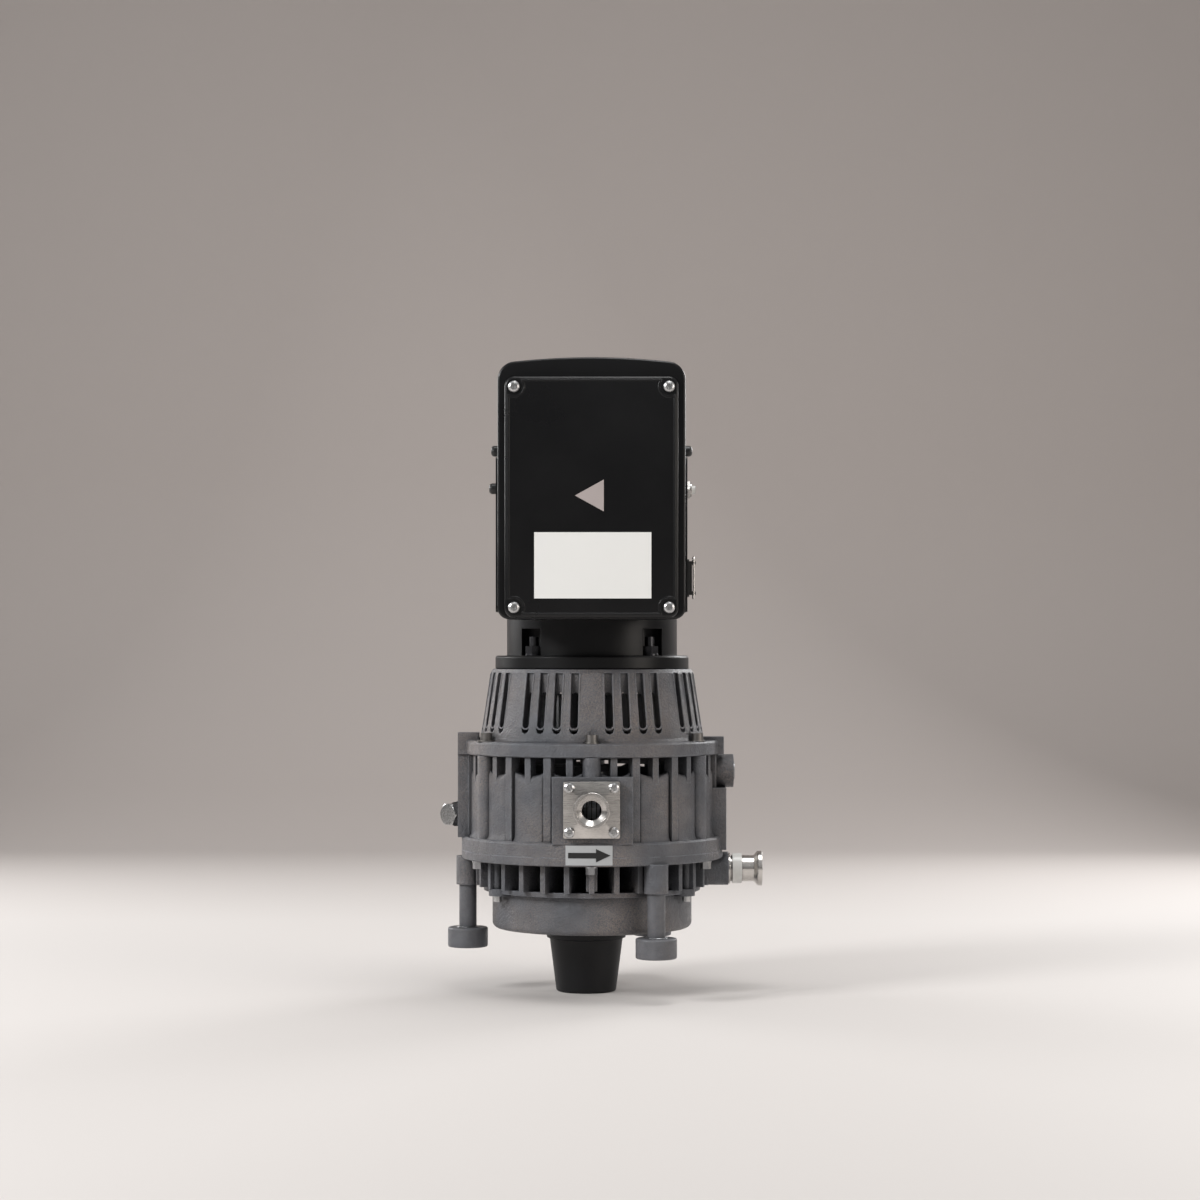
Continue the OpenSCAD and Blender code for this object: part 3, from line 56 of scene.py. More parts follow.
class Coord(Enum):
    """Where a pattern is read: on the object, or by direction in the surroundings."""

    OBJECT = "Object"
    DIRECTION = "Generated"


class Shader:
    """A node tree round one Principled shader, with short ways to add and join nodes."""

    def __init__(self, name: str, colour: Colour, roughness: float, metallic: float = 0.0) -> None:
        """Makes the material.

        Args:
            name: the material's name.
            colour: linear base colour.
            roughness: base roughness.
            metallic: 0 for paint and plastic, 1 for bare metal.
        """
        self.material = bpy.data.materials.new(name)
        self.material.use_nodes = True
        self.tree = self.material.node_tree
        self.principled = self.tree.nodes["Principled BSDF"]
        self.set("Base Color", (*colour, 1.0))
        self.set("Roughness", roughness)
        self.set("Metallic", metallic)
        self.coords = self.node("ShaderNodeTexCoord")
        self.normal = None

    def set(self, socket: str, value: object) -> None:
        """Writes a constant on one of the Principled shader's own sockets."""
        self.principled.inputs[socket].default_value = value

    def node(self, kind: str, **values: object) -> bpy.types.Node:
        """Adds a node.

        Args:
            kind: Blender's type name of the node.
            values: properties of the node, or inputs written as in_Name with _ for each blank.

        Returns:
            The new node.
        """
        made = self.tree.nodes.new(kind)
        for key, value in values.items():
            if key.startswith("in_"):
                made.inputs[key[3:].replace("_", " ")].default_value = value
            else:
                setattr(made, key, value)
        return made

    def link(self, source: bpy.types.NodeSocket, target: bpy.types.NodeSocket) -> None:
        """Joins an output to an input."""
        self.tree.links.new(source, target)

    def noise(self, scale: float, detail: float = 3.0, rough: float = 0.5,
              stretch: Sequence[float] = (1, 1, 1)) -> bpy.types.NodeSocket:
        """Noise pattern.

        Args:
            scale: features a metre.
            detail: octaves.
            rough: share of the finer octaves.
            stretch: scale along x, y and z.

        Returns:
            The noise value, from 0 to 1.
        """
        mapping = self.node("ShaderNodeMapping", in_Scale=tuple(stretch))
        self.link(self.coords.outputs[Coord.OBJECT.value], mapping.inputs["Vector"])
        made = self.node("ShaderNodeTexNoise", in_Scale=scale, in_Detail=detail, in_Roughness=rough)
        self.link(mapping.outputs["Vector"], made.inputs["Vector"])
        return made.outputs["Fac"]

    def ramp(self, value: bpy.types.NodeSocket, low: float, high: float,
             out_low: float = 0.0, out_high: float = 1.0) -> bpy.types.NodeSocket:
        """Maps a value's range [low, high] to [out_low, out_high], clamped."""
        made = self.node("ShaderNodeMapRange", in_From_Min=low, in_From_Max=high,
                         in_To_Min=out_low, in_To_Max=out_high)
        self.link(value, made.inputs["Value"])
        return made.outputs["Result"]

    def mix(self, factor: bpy.types.NodeSocket, a: object, b: object) -> bpy.types.NodeSocket:
        """Mixes two colours, each a linear colour or a socket, by a factor socket."""
        made = self.node("ShaderNodeMix", data_type="RGBA")
        self.link(factor, made.inputs[0])
        for socket, value in ((made.inputs[6], a), (made.inputs[7], b)):
            if isinstance(value, bpy.types.NodeSocket):
                self.link(value, socket)
            else:
                socket.default_value = (*value, 1.0)
        return made.outputs[2]

    def colour(self, socket: bpy.types.NodeSocket) -> None:
        """Sends a colour socket to the base colour."""
        self.link(socket, self.principled.inputs["Base Color"])

    def roughness(self, socket: bpy.types.NodeSocket) -> None:
        """Sends a value socket to the roughness."""
        self.link(socket, self.principled.inputs["Roughness"])

    def soft_edges(self, radius: float, samples: int = 4) -> bpy.types.NodeSocket:
        """Rounds the shading of sharp edges.

        Args:
            radius: radius in metres.
            samples: rays of the rounding.

        Returns:
            A value near 1 on edges and 0 elsewhere, for edges painted paler: painted highlight, and on cast
            paint partly wear.
        """
        bevel = self.node("ShaderNodeBevel", samples=samples, in_Radius=radius)
        self.normal = bevel.outputs["Normal"]
        flat = self.node("ShaderNodeNewGeometry")
        dot = self.node("ShaderNodeVectorMath", operation="DOT_PRODUCT")
        self.link(self.normal, dot.inputs[0])
        self.link(flat.outputs["Normal"], dot.inputs[1])
        self.link(self.normal, self.principled.inputs["Normal"])
        return self.ramp(dot.outputs["Value"], 0.995, 0.8)

    def multiply(self, *factors: bpy.types.NodeSocket) -> bpy.types.NodeSocket:
        """Product of value sockets, clamped to the range from 0 to 1."""
        product = factors[0]
        for factor in factors[1:]:
            made = self.node("ShaderNodeMath", operation="MULTIPLY", use_clamp=True)
            self.link(product, made.inputs[0])
            self.link(factor, made.inputs[1])
            product = made.outputs[0]
        return product

    def hollows(self, distance: float, samples: int = 6) -> bpy.types.NodeSocket:
        """Value near 1 in corners and gaps narrower than a distance in metres, and 0 on open faces; it masks
        painted shade.
        """
        open_share = self.node("ShaderNodeAmbientOcclusion", samples=samples, in_Distance=distance)
        return self.ramp(open_share.outputs["AO"], 0.85, 0.25)

    def bump(self, height: bpy.types.NodeSocket, strength: float, distance: float) -> None:
        """Adds a bump on top of the normal so far; distance is in metres."""
        made = self.node("ShaderNodeBump", in_Strength=strength, in_Distance=distance)
        self.link(height, made.inputs["Height"])
        if self.normal is not None:
            self.link(self.normal, made.inputs["Normal"])
        self.normal = made.outputs["Normal"]
        self.link(self.normal, self.principled.inputs["Normal"])


def polar(radius: float | np.ndarray, angle: float | np.ndarray, height: float | np.ndarray) -> np.ndarray:
    """Points at a radius and a position angle.

    The angle is in degrees from the front towards the right:
    x = r sin a, y = -r cos a.

    Args:
        radius: distance from the pump's axis in mm.
        angle: position angle in degrees.
        height: height in mm.

    Returns:
        Array of points with x, y and z in its last axis.
    """
    turn = np.radians(angle)
    return np.stack(np.broadcast_arrays(radius * np.sin(turn), -radius * np.cos(turn), height), -1)


def unit(vectors: np.ndarray) -> np.ndarray:
    """Scales vectors to length one."""
    return vectors / np.linalg.norm(vectors, axis=-1, keepdims=True)


def corner(centre: Sequence[float], radius: float, start: float, end: float, count: int = 9) -> np.ndarray:
    """Points on an arc: centre + radius (cos t, sin t), t in degrees from start to end."""
    turn = np.radians(np.linspace(start, end, count))
    return np.array(centre) + radius * np.stack([np.cos(turn), np.sin(turn)], -1)


def outline_normals(path: np.ndarray) -> np.ndarray:
    """Outward normals of a closed outline that runs anticlockwise: the tangent turned by -90 degrees."""
    tangent = unit(np.roll(path, -1, 0) - np.roll(path, 1, 0))
    return np.stack([tangent[:, 1], -tangent[:, 0]], -1)


class Surface:
    """Gathers grids of points and flat caps, all in mm, into one closed mesh."""

    def __init__(self) -> None:
        """Starts empty."""
        self.points: list[np.ndarray] = []
        self.quads: list[np.ndarray] = []
        self.caps: list[list[int]] = []
        self.size = 0

    def grid(self, points: np.ndarray, wrap_u: bool = False, wrap_v: bool = False) -> int:
        """Adds a surface P(u, v) sampled on a grid.

        Args:
            points: array of n by m points.
            wrap_u: joins the last row to the first.
            wrap_v: joins the last column to the first.

        Returns:
            Index of the grid's first point.
        """
        n, m = points.shape[:2]
        start = self.size
        self.points.append(points.reshape(-1, 3))
        self.size += n * m
        rows, columns = np.arange(n if wrap_u else n - 1), np.arange(m if wrap_v else m - 1)
        a, b = np.meshgrid(rows, columns, indexing="ij")
        c, d = (a + 1) % n, (b + 1) % m
        self.quads.append(start + np.stack([a * m + b, a * m + d, c * m + d, c * m + b], -1).reshape(-1, 4))
        return start

    def swept(self, sections: np.ndarray, closed: bool = False) -> None:
        """Adds closed sections carried along a path, with flat caps at the ends of an open path.

        Args:
            sections: array of n sections of m points each.
            closed: the path itself is a loop.
        """
        n, m = sections.shape[:2]
        start = self.grid(sections, wrap_u=closed, wrap_v=True)
        if not closed:
            self.caps.append(list(range(start, start + m)))
            self.caps.append(list(range(start + (n - 1) * m, start + n * m)))

    def pillow(self, front: np.ndarray, back: np.ndarray) -> None:
        """Closes two grids of the same size into one solid by walls between their borders."""
        def border(grid: np.ndarray) -> np.ndarray:
            """The grid's outer points, once round."""
            return np.concatenate([grid[0, :-1], grid[:-1, -1], grid[-1, :0:-1], grid[:0:-1, 0]])
        self.grid(front)
        self.grid(back)
        self.grid(np.stack([border(front), border(back)]), wrap_v=True)

    def bead(self, path: np.ndarray, up: np.ndarray, width: float, height: float,
             closed: bool = True, count: int = 8) -> None:
        """Adds a round bead along a path.

        Section at s: p(s) + width cos t side(s) + height sin t up(s), with side = tangent x up.

        Args:
            path: centre line, n points.
            up: direction of the bead's height at each point.
            width: half width.
            height: half height.
            closed: the path is a loop.
            count: points of one section.
        """
        step = np.roll(path, -1, 0) - np.roll(path, 1, 0) if closed else np.gradient(path, axis=0)
        side = unit(np.cross(unit(step), up))[:, None]
        turn = np.linspace(0.0, 2.0 * np.pi, count, endpoint=False)[None, :, None]
        self.swept(path[:, None] + width * np.cos(turn) * side + height * np.sin(turn) * up[:, None], closed)

    def lathe(self, profile: np.ndarray, centre: Sequence[float], axis: Sequence[float] = (0, 0, 1),
              count: int = 64) -> None:
        """Turns a closed profile about an axis: P(u, v) = c + z(u) axis + r(u) (cos v e1 + sin v e2).

        Args:
            profile: rows of radius and height, a closed loop.
            centre: point on the axis at height zero.
            axis: direction of the axis.
            count: steps round.
        """
        along = unit(np.array(axis, float))
        first = unit(np.cross(along, (0.0, 0.0, 1.0) if abs(along[2]) < 0.9 else (1.0, 0.0, 0.0)))
        second = np.cross(along, first)
        turn = np.linspace(0.0, 2.0 * np.pi, count, endpoint=False)[:, None, None]
        radial = np.cos(turn) * first + np.sin(turn) * second
        rings = np.array(centre) + profile[None, :, :1] * radial + profile[None, :, 1:] * along
        self.grid(rings, wrap_u=True, wrap_v=True)

    def mesh(self, name: str) -> bpy.types.Mesh:
        """Joins the grids and caps into one mesh, closes its seams and points its faces outwards."""
        made = bpy.data.meshes.new(name)
        faces = [face for block in self.quads for face in block.tolist()] + self.caps
        made.from_pydata((np.concatenate(self.points) * MM).tolist(), [], faces)
        work = bmesh.new()
        work.from_mesh(made)
        bmesh.ops.remove_doubles(work, verts=work.verts[:], dist=SEAM)
        bmesh.ops.recalc_face_normals(work, faces=work.faces[:])
        work.to_mesh(made)
        work.free()
        return made

    def build(self, name: str, finish: "Finish", body: str, slot: str,
              replaced: Sequence[str] = (), angle: float = 35.0) -> bpy.types.Object:
        """Makes the object, smooth but for its sharp edges, and says what it rides on and stands for.

        Args:
            name: the object's name.
            finish: its finish.
            body: the CAD body it rides on.
            slot: the material slot of the record; not used.
            replaced: CAD nodes it stands for.
            angle: edges sharper than this stay sharp, in degrees.

        Returns:
            The new object.
        """
        mesh = self.mesh(name)
        mesh.polygons.foreach_set("use_smooth", np.ones(len(mesh.polygons), bool))
        mesh.set_sharp_from_angle(angle=math.radians(angle))
        mesh.materials.append(finish.build())
        made = bpy.data.objects.new(name, mesh)
        bpy.context.scene.collection.objects.link(made)
        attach(made, body)
        if replaced:
            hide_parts(*replaced)
        LOG.info("%s: %d faces on %s", name, len(mesh.polygons), body)
        return made


@dataclass(frozen=True)
class Finish:
    """Base of the finishes: a name, a base colour, a roughness and a metallic share."""

    name: str
    colour: Colour
    roughness: float
    metallic: float = 0.0

    def build(self) -> bpy.types.Material:
        """Builds the material, or returns the one already built."""
        found = bpy.data.materials.get(self.name)
        if found is not None:
            return found
        shader = Shader(self.name, self.colour, self.roughness, self.metallic)
        self.detail(shader)
        return shader.material

    def detail(self, shader: Shader) -> None:
        """Adds the finish's own pattern; a plain finish has fine roughness noise."""
        grain = shader.noise(900.0)
        shader.roughness(shader.ramp(grain, 0.3, 0.7, self.roughness * 0.85, self.roughness * 1.15))


@dataclass(frozen=True)
class CastPaint(Finish):
    """Grey paint over a sand-cast surface: pitted bump, warm patches of painted reflection, edges painted
    paler as painted highlight and partly wear, and painted shade in corners.
    """

    # Colour and share of the warm patches, a painted reflection of the warm surroundings laid out by noise
    reflection_tint: Colour = (0.25, 0.208, 0.184)
    reflection_share: float = 0.8
    bump: float = 0.75
    edge: float = 0.0012
    # Reach in metres of the painted shade in corners and narrow gaps
    painted_shade_reach: float = 0.018

    def detail(self, shader: Shader) -> None:
        """Colour varies in tone and in warm patches of painted reflection, pits follow a fine noise, edges
        are painted paler as painted highlight and partly wear, and corners get painted shade.
        """
        edge_mask = shader.soft_edges(self.edge)
        # Painted reflection: warm patches where the broad and the fine noise meet
        broad = shader.ramp(shader.noise(14.0, 3.0), 0.40, 0.66, 0.0, self.reflection_share)
        mottled = shader.ramp(shader.noise(1300.0, 2.0), 0.4, 0.6)
        dark = tuple(c * 0.72 for c in self.colour)
        shade = shader.mix(shader.ramp(shader.noise(90.0, 3.0), 0.35, 0.7), dark, self.colour)
        shade = shader.mix(shader.multiply(broad, mottled), shade, self.reflection_tint)
        # Painted highlight and partly wear: edges are painted up to 2.6 times paler, broken up by noise
        pale = tuple(min(1.0, c * 2.6) for c in self.colour)
        pale_edge_breakup = shader.ramp(shader.noise(120.0, 3.0), 0.35, 0.62, 0.2, 0.95)
        shade = shader.mix(shader.multiply(edge_mask, pale_edge_breakup), shade, pale)
        # Painted shade: corners and narrow gaps are darkened to 0.3 of the colour
        painted_shade = tuple(c * 0.3 for c in self.colour)
        shader.colour(shader.mix(shader.hollows(self.painted_shade_reach), shade, painted_shade))
        shader.roughness(shader.ramp(shader.noise(260.0, 3.0), 0.3, 0.7,
                                     self.roughness - 0.1, self.roughness + 0.1))
        shader.bump(shader.noise(560.0, 4.0, 0.6), self.bump, 0.0013)
        shader.bump(shader.noise(130.0, 2.0), 0.3, 0.0012)


@dataclass(frozen=True)
class SatinPaint(Finish):
    """Black paint or moulding with a soft sheen, faint orange peel and edges painted paler as painted
    highlight.
    """

    edge: float = 0.001
    peel: float = 0.12
    coat: float = 0.0
    gloss: float = 0.5

    def detail(self, shader: Shader) -> None:
        """Edges are painted paler as painted highlight, smudges change the gloss."""
        edge_mask = shader.soft_edges(self.edge)
        pale = tuple(min(1.0, c * 1.8 + 0.008) for c in self.colour)
        # Painted highlight: edges are painted paler than the paint
        shader.colour(shader.mix(edge_mask, self.colour, pale))
        shader.roughness(shader.ramp(shader.noise(14.0, 4.0, 0.6), 0.3, 0.75,
                                     self.roughness - 0.06, self.roughness + 0.08))
        shader.bump(shader.noise(500.0, 2.0), self.peel, 0.0002)
        shader.set("Specular IOR Level", self.gloss)
        shader.set("Coat Weight", self.coat)
        shader.set("Coat Roughness", 0.12)


@dataclass(frozen=True)
class TurnedMetal(Finish):
    """Bare metal with tool marks: fine streaks along one axis, slight stains, and painted shade in narrow
    hollows where shade is set.
    """

    streak: Sequence[float] = (1.0, 1.0, 30.0)
    marks: float = 0.15
    edge: float = 0.0004
    shade: float = 0.0
    shade_reach: float = 0.02

    def detail(self, shader: Shader) -> None:
        """Streaks change gloss and height, stains change the colour, narrow hollows may get painted shade."""
        shader.soft_edges(self.edge)
        lines = shader.noise(700.0, 2.0, 0.5, stretch=self.streak)
        dull = tuple(c * 0.8 for c in self.colour)
        stained_and_shaded = shader.mix(shader.ramp(shader.noise(60.0, 3.0), 0.35, 0.7), dull, self.colour)
        # Painted shade: narrow hollows are darkened by the share given as shade
        if self.shade > 0.0:
            dark = tuple(c * (1.0 - self.shade) for c in self.colour)
            stained_and_shaded = shader.mix(shader.hollows(self.shade_reach), stained_and_shaded, dark)
        shader.colour(stained_and_shaded)
        shader.roughness(shader.ramp(lines, 0.3, 0.7, self.roughness * 0.7, self.roughness * 1.3))
        shader.bump(lines, self.marks, 0.0001)


@dataclass(frozen=True)
class Film(Finish):
    """Printed film or paper: nearly flat, with a faint mottle."""

    def detail(self, shader: Shader) -> None:
        """A faint mottle in the colour and the gloss."""
        pale = tuple(c * 0.93 for c in self.colour)
        shader.colour(shader.mix(shader.ramp(shader.noise(40.0, 3.0), 0.3, 0.7), pale, self.colour))
        shader.roughness(shader.ramp(shader.noise(300.0), 0.3, 0.7,
                                     self.roughness - 0.05, self.roughness + 0.05))


@dataclass(frozen=True)
class WoundCopper(Finish):
    """Enamelled wire: fine rings that follow the winding's height."""

    def detail(self, shader: Shader) -> None:
        """Rings in the bump and in the colour."""
        wave = shader.node("ShaderNodeTexWave", wave_type="BANDS", bands_direction="Z",
                           in_Scale=420.0, in_Distortion=1.5)
        shader.link(shader.coords.outputs[Coord.OBJECT.value], wave.inputs["Vector"])
        dark = tuple(c * 0.45 for c in self.colour)
        shader.colour(shader.mix(wave.outputs["Fac"], dark, self.colour))
        shader.bump(wave.outputs["Fac"], 0.6, 0.0004)


CAST = CastPaint("grey_cast_paint", (0.108, 0.113, 0.127), 0.44)
CAST_SMOOTH = CastPaint("grey_smooth_paint", (0.118, 0.123, 0.137), 0.46, reflection_share=0.25, bump=0.25)
BLACK = SatinPaint("black_satin_paint", (0.005, 0.005, 0.0055), 0.36, gloss=0.25)
BLACK_MATT = SatinPaint("black_matt_paint", (0.005, 0.005, 0.006), 0.5, gloss=0.3)
BOX_BLACK = SatinPaint("box_black", (0.004, 0.004, 0.0045), 0.3, gloss=0.3, coat=0.12)
PLASTIC = SatinPaint("black_moulding", (0.012, 0.012, 0.012), 0.32, edge=0.0004)
RUBBER = SatinPaint("black_rubber", (0.012, 0.012, 0.012), 0.75, edge=0.0003)
# Narrow hollows of this metal, such as the nozzle's bore, get painted shade
STAINLESS = TurnedMetal("polished_stainless", (0.72, 0.69, 0.66), 0.24, 1.0, marks=0.06, shade=0.95)
BRUSHED = TurnedMetal("brushed_plate", (0.66, 0.63, 0.60), 0.3, 1.0, streak=(0.1, 3.0, 3.0), marks=0.05)
STEEL = TurnedMetal("ground_steel", (0.52, 0.53, 0.55), 0.28, 1.0)
WEATHERED = TurnedMetal("weathered_bolt", (0.22, 0.21, 0.20), 0.42, 1.0)
ZINC = TurnedMetal("zinc_plated_screw", (0.60, 0.60, 0.60), 0.3, 1.0)
DULL_BOLT = TurnedMetal("dull_bolt", (0.42, 0.42, 0.43), 0.35, 1.0)
BLACK_BOLT = TurnedMetal("black_oxide_bolt", (0.07, 0.07, 0.075), 0.32, 1.0)
# The inlet screen is painted near black as painted shade, so that the bore behind the nozzle reads dark
SCREEN = TurnedMetal("fine_screen", (0.015, 0.015, 0.015), 0.6, 0.3)
FAN = SatinPaint("pale_fan", (0.42, 0.43, 0.44), 0.3, edge=0.0006)
TURNED = TurnedMetal("turned_hex", (0.46, 0.46, 0.46), 0.26, 1.0, streak=(1.0, 1.0, 1.0), marks=0.3)
ALUMINIUM = TurnedMetal("machined_aluminium", (0.6, 0.61, 0.63), 0.35, 1.0)
IRON = TurnedMetal("cast_iron_weight", (0.12, 0.12, 0.125), 0.6, 0.6, marks=0.5)
LAMINATED = TurnedMetal("laminated_core", (0.22, 0.22, 0.23), 0.45, 1.0, streak=(1.0, 1.0, 60.0), marks=0.5)
COPPER = WoundCopper("enamelled_copper", (0.45, 0.17, 0.06), 0.35, 0.8)
BOARD = SatinPaint("circuit_board", (0.01, 0.09, 0.04), 0.4, edge=0.0003)
CAN = SatinPaint("capacitor_sleeve", (0.06, 0.07, 0.12), 0.35, edge=0.0004)
SEAL_STRIP = Film("seal_strip", (0.55, 0.5, 0.38), 0.5)
WHITE_COLLAR = SatinPaint("white_collar", (0.62, 0.62, 0.6), 0.3, edge=0.0005)
WHITE_LABEL = Film("white_label", (0.80, 0.80, 0.79), 0.45)
GREY_LABEL = Film("grey_label", (0.40, 0.41, 0.43), 0.4)
PLATE_METAL = Film("triangle_plate", (0.42, 0.37, 0.36), 0.4)
PRINT = Film("black_print", (0.012, 0.012, 0.013), 0.4)

DRESS: dict[str, tuple[Finish, Sequence[str]]] = {
    "stand": (BLACK_MATT, ("pedestal",)),
    "cast": (CAST, ("fin_cover", "fixed_scroll", "main_housing", "fan_housing")),
    "feet": (CAST_SMOOTH, ("foot_pads", "legs")),
    "motor": (BLACK, ("motor_flange", "motor_frame", "motor_end_cap")),
    "box": (BOX_BLACK, ("control_box", "box_cover", "side_plates")),
    "plastic": (PLASTIC, ("side_knobs", "power_inlet")),
    "fan": (FAN, ("cooling_fan",)),
    "screen": (SCREEN, ("inlet_screen",)),
    "stud_nuts": (BLACK_BOLT, ("motor_stud_nuts",)),
    "rubber": (RUBBER, ("joint_seal", "shaft_seal", "inlet_seal", "ballast_collar", "box_cover_seal")),
    "ports": (STAINLESS, ("inlet_flange", "exhaust_fitting", "power_bail", "breaker_body")),
    "steel": (STEEL, ("crank_bearing", "orbit_idler_bearings", "housing_idler_bearings",
                      "lower_main_bearing", "upper_main_bearing", "main_shaft",
                      "idler_crank_1", "idler_crank_2", "idler_crank_3")),
    "screws": (ZINC, ("box_cover_screws", "inlet_screws", "fin_cover_screws")),
    "bolts": (DULL_BOLT, ("flange_bolts", "side_plug")),
    "ring_bolts": (WEATHERED, ("ring_bolts",)),
    "hexagon": (TURNED, ("ballast_plug",)),
    "scroll": (ALUMINIUM, ("orbiting_scroll",)),
    "weight": (IRON, ("counterweight",)),
    "core": (LAMINATED, ("stator_core", "motor_rotor")),
    "windings": (COPPER, ("stator_windings",)),
    "board": (BOARD, ("drive_board",)),
    "can": (CAN, ("run_capacitor",)),
    "strips": (SEAL_STRIP, ("fixed_tip_seal", "orbiting_tip_seal")),
    "collar": (WHITE_COLLAR, ("exhaust_collar", "reset_button")),
    "labels": (WHITE_LABEL, ("rating_plate", "side_sticker")),
    "grey_labels": (GREY_LABEL, ("arrow_sticker",)),
    "triangle": (PLATE_METAL, ("front_plate",)),
    "print": (PRINT, ("flow_arrow",)),
}


@dataclass
class CasingPanels:
    """Convex panels of the main housing's wall between its ribs, open above them to the windows."""

    wall_radius: float = 104.0
    inner_radius: float = 98.3
    foot: float = 134.4
    top: float = 189.5
    bulge: float = 2.6
    corner_rise: float = 3.4
    fillet: float = 2.2
    fillet_reach: float = 1.6
    tuck: float = 0.2
    rib_half: float = 1.7
    column_half: float = 3.9
    spacing: int = 20
    column_spacing: int = 60

    def panel(self, start: float, end: float) -> tuple[np.ndarray, np.ndarray]:
        """Front and back grids of one panel.

        With s across and t up, both from 0 to 1: R = wall - tuck + bulge (1 - |2s-1|^3)^(1/3) c(t) + f(z),
        where c falls to 0 over the last tenth and f = fillet e^(-(z - foot) / reach), and
        z = foot + t (height + rise |2s-1|^3).

        Args:
            start: position angle of the left edge in degrees.
            end: position angle of the right edge.

        Returns:
            The front and the back grid.
        """
        s, t = np.meshgrid(np.linspace(0, 1, 21), np.linspace(0, 1, 25) ** 0.9, indexing="ij")
        across = np.clip(1.0 - np.abs(2 * s - 1) ** 3, 0, 1) ** (1 / 3)
        fall = np.clip((t - 0.9) / 0.1, 0, 1)
        height = self.top - self.foot + self.corner_rise * np.abs(2 * s - 1) ** 3
        z = self.foot + t * height
        fillet = self.fillet * np.exp(-(z - self.foot) / self.fillet_reach)
        bulge = self.bulge * across * np.sqrt(1 - fall ** 2 * 0.99)
        radius = self.wall_radius - self.tuck + bulge + fillet
        angle = start + (end - start) * s
        return polar(radius, angle, z), polar(np.full_like(radius, self.inner_radius), angle, z)

    def build(self) -> None:
        """Adds a panel in each gap between neighbouring ribs or columns."""
        surface = Surface()
        for first in range(0, 360, self.spacing):
            last = first + self.spacing
            left = self.column_half if first % self.column_spacing == 0 else self.rib_half
            right = self.column_half if last % self.column_spacing == 0 else self.rib_half
            surface.pillow(*self.panel(first + left, last - right))
        surface.build("casing_wall_panels", CAST, "pump_frame", "grey_cast", angle=50.0)


@dataclass
class BellLips:
    """Raised lips that run down both sides of each air slot of the bell and round its lower end."""

    foot_radius: float = 96.0
    top_radius: float = 87.4
    foot: float = 217.0
    top: float = 275.0
    slot_foot: float = 228.0
    slot_top: float = 274.0
    slot_half: float = 4.0
    places: int = 40
    bar_every: int = 5
    lip: float = 0.85

    def path(self) -> tuple[np.ndarray, np.ndarray]:
        """Centre line of one lip and its outward directions.

        A U in the front plane, x(s) and z(s), laid on the cone: y = -sqrt(R(z)^2 - x^2).

        Returns:
            The path and the outward directions.
        """
        down = np.linspace(self.slot_top, self.slot_foot + self.slot_half, 14)
        bend = corner((0.0, self.slot_foot + self.slot_half), self.slot_half, 180.0, 360.0, 13)[1:-1]
        side = np.full_like(down, self.slot_half)
        x = np.concatenate([-side, bend[:, 0], side])
        z = np.concatenate([down, bend[:, 1], down[::-1]])
        slope = (self.top_radius - self.foot_radius) / (self.top - self.foot)
        radius = self.foot_radius + slope * (z - self.foot)
        y = -np.sqrt(radius ** 2 - x ** 2)
        return np.stack([x, y, z], -1), unit(np.stack([x, y, -slope * radius], -1))

    def build(self) -> None:
        """Adds the lips of all slots; between groups of them one place is a plain bar."""
        path, out = self.path()
        surface = Surface()
        for place in range(1, self.places + 1):
            if place % self.bar_every == 0:
                continue
            turn = math.radians(360.0 / self.places * place)
            spin = np.array([[math.cos(turn), math.sin(turn), 0.0],
                             [-math.sin(turn), math.cos(turn), 0.0],
                             [0.0, 0.0, 1.0]])
            surface.bead(path @ spin, out @ spin, self.lip, self.lip * 0.8, closed=False)
        surface.build("bell_slot_lips", CAST, "pump_frame", "grey_cast")


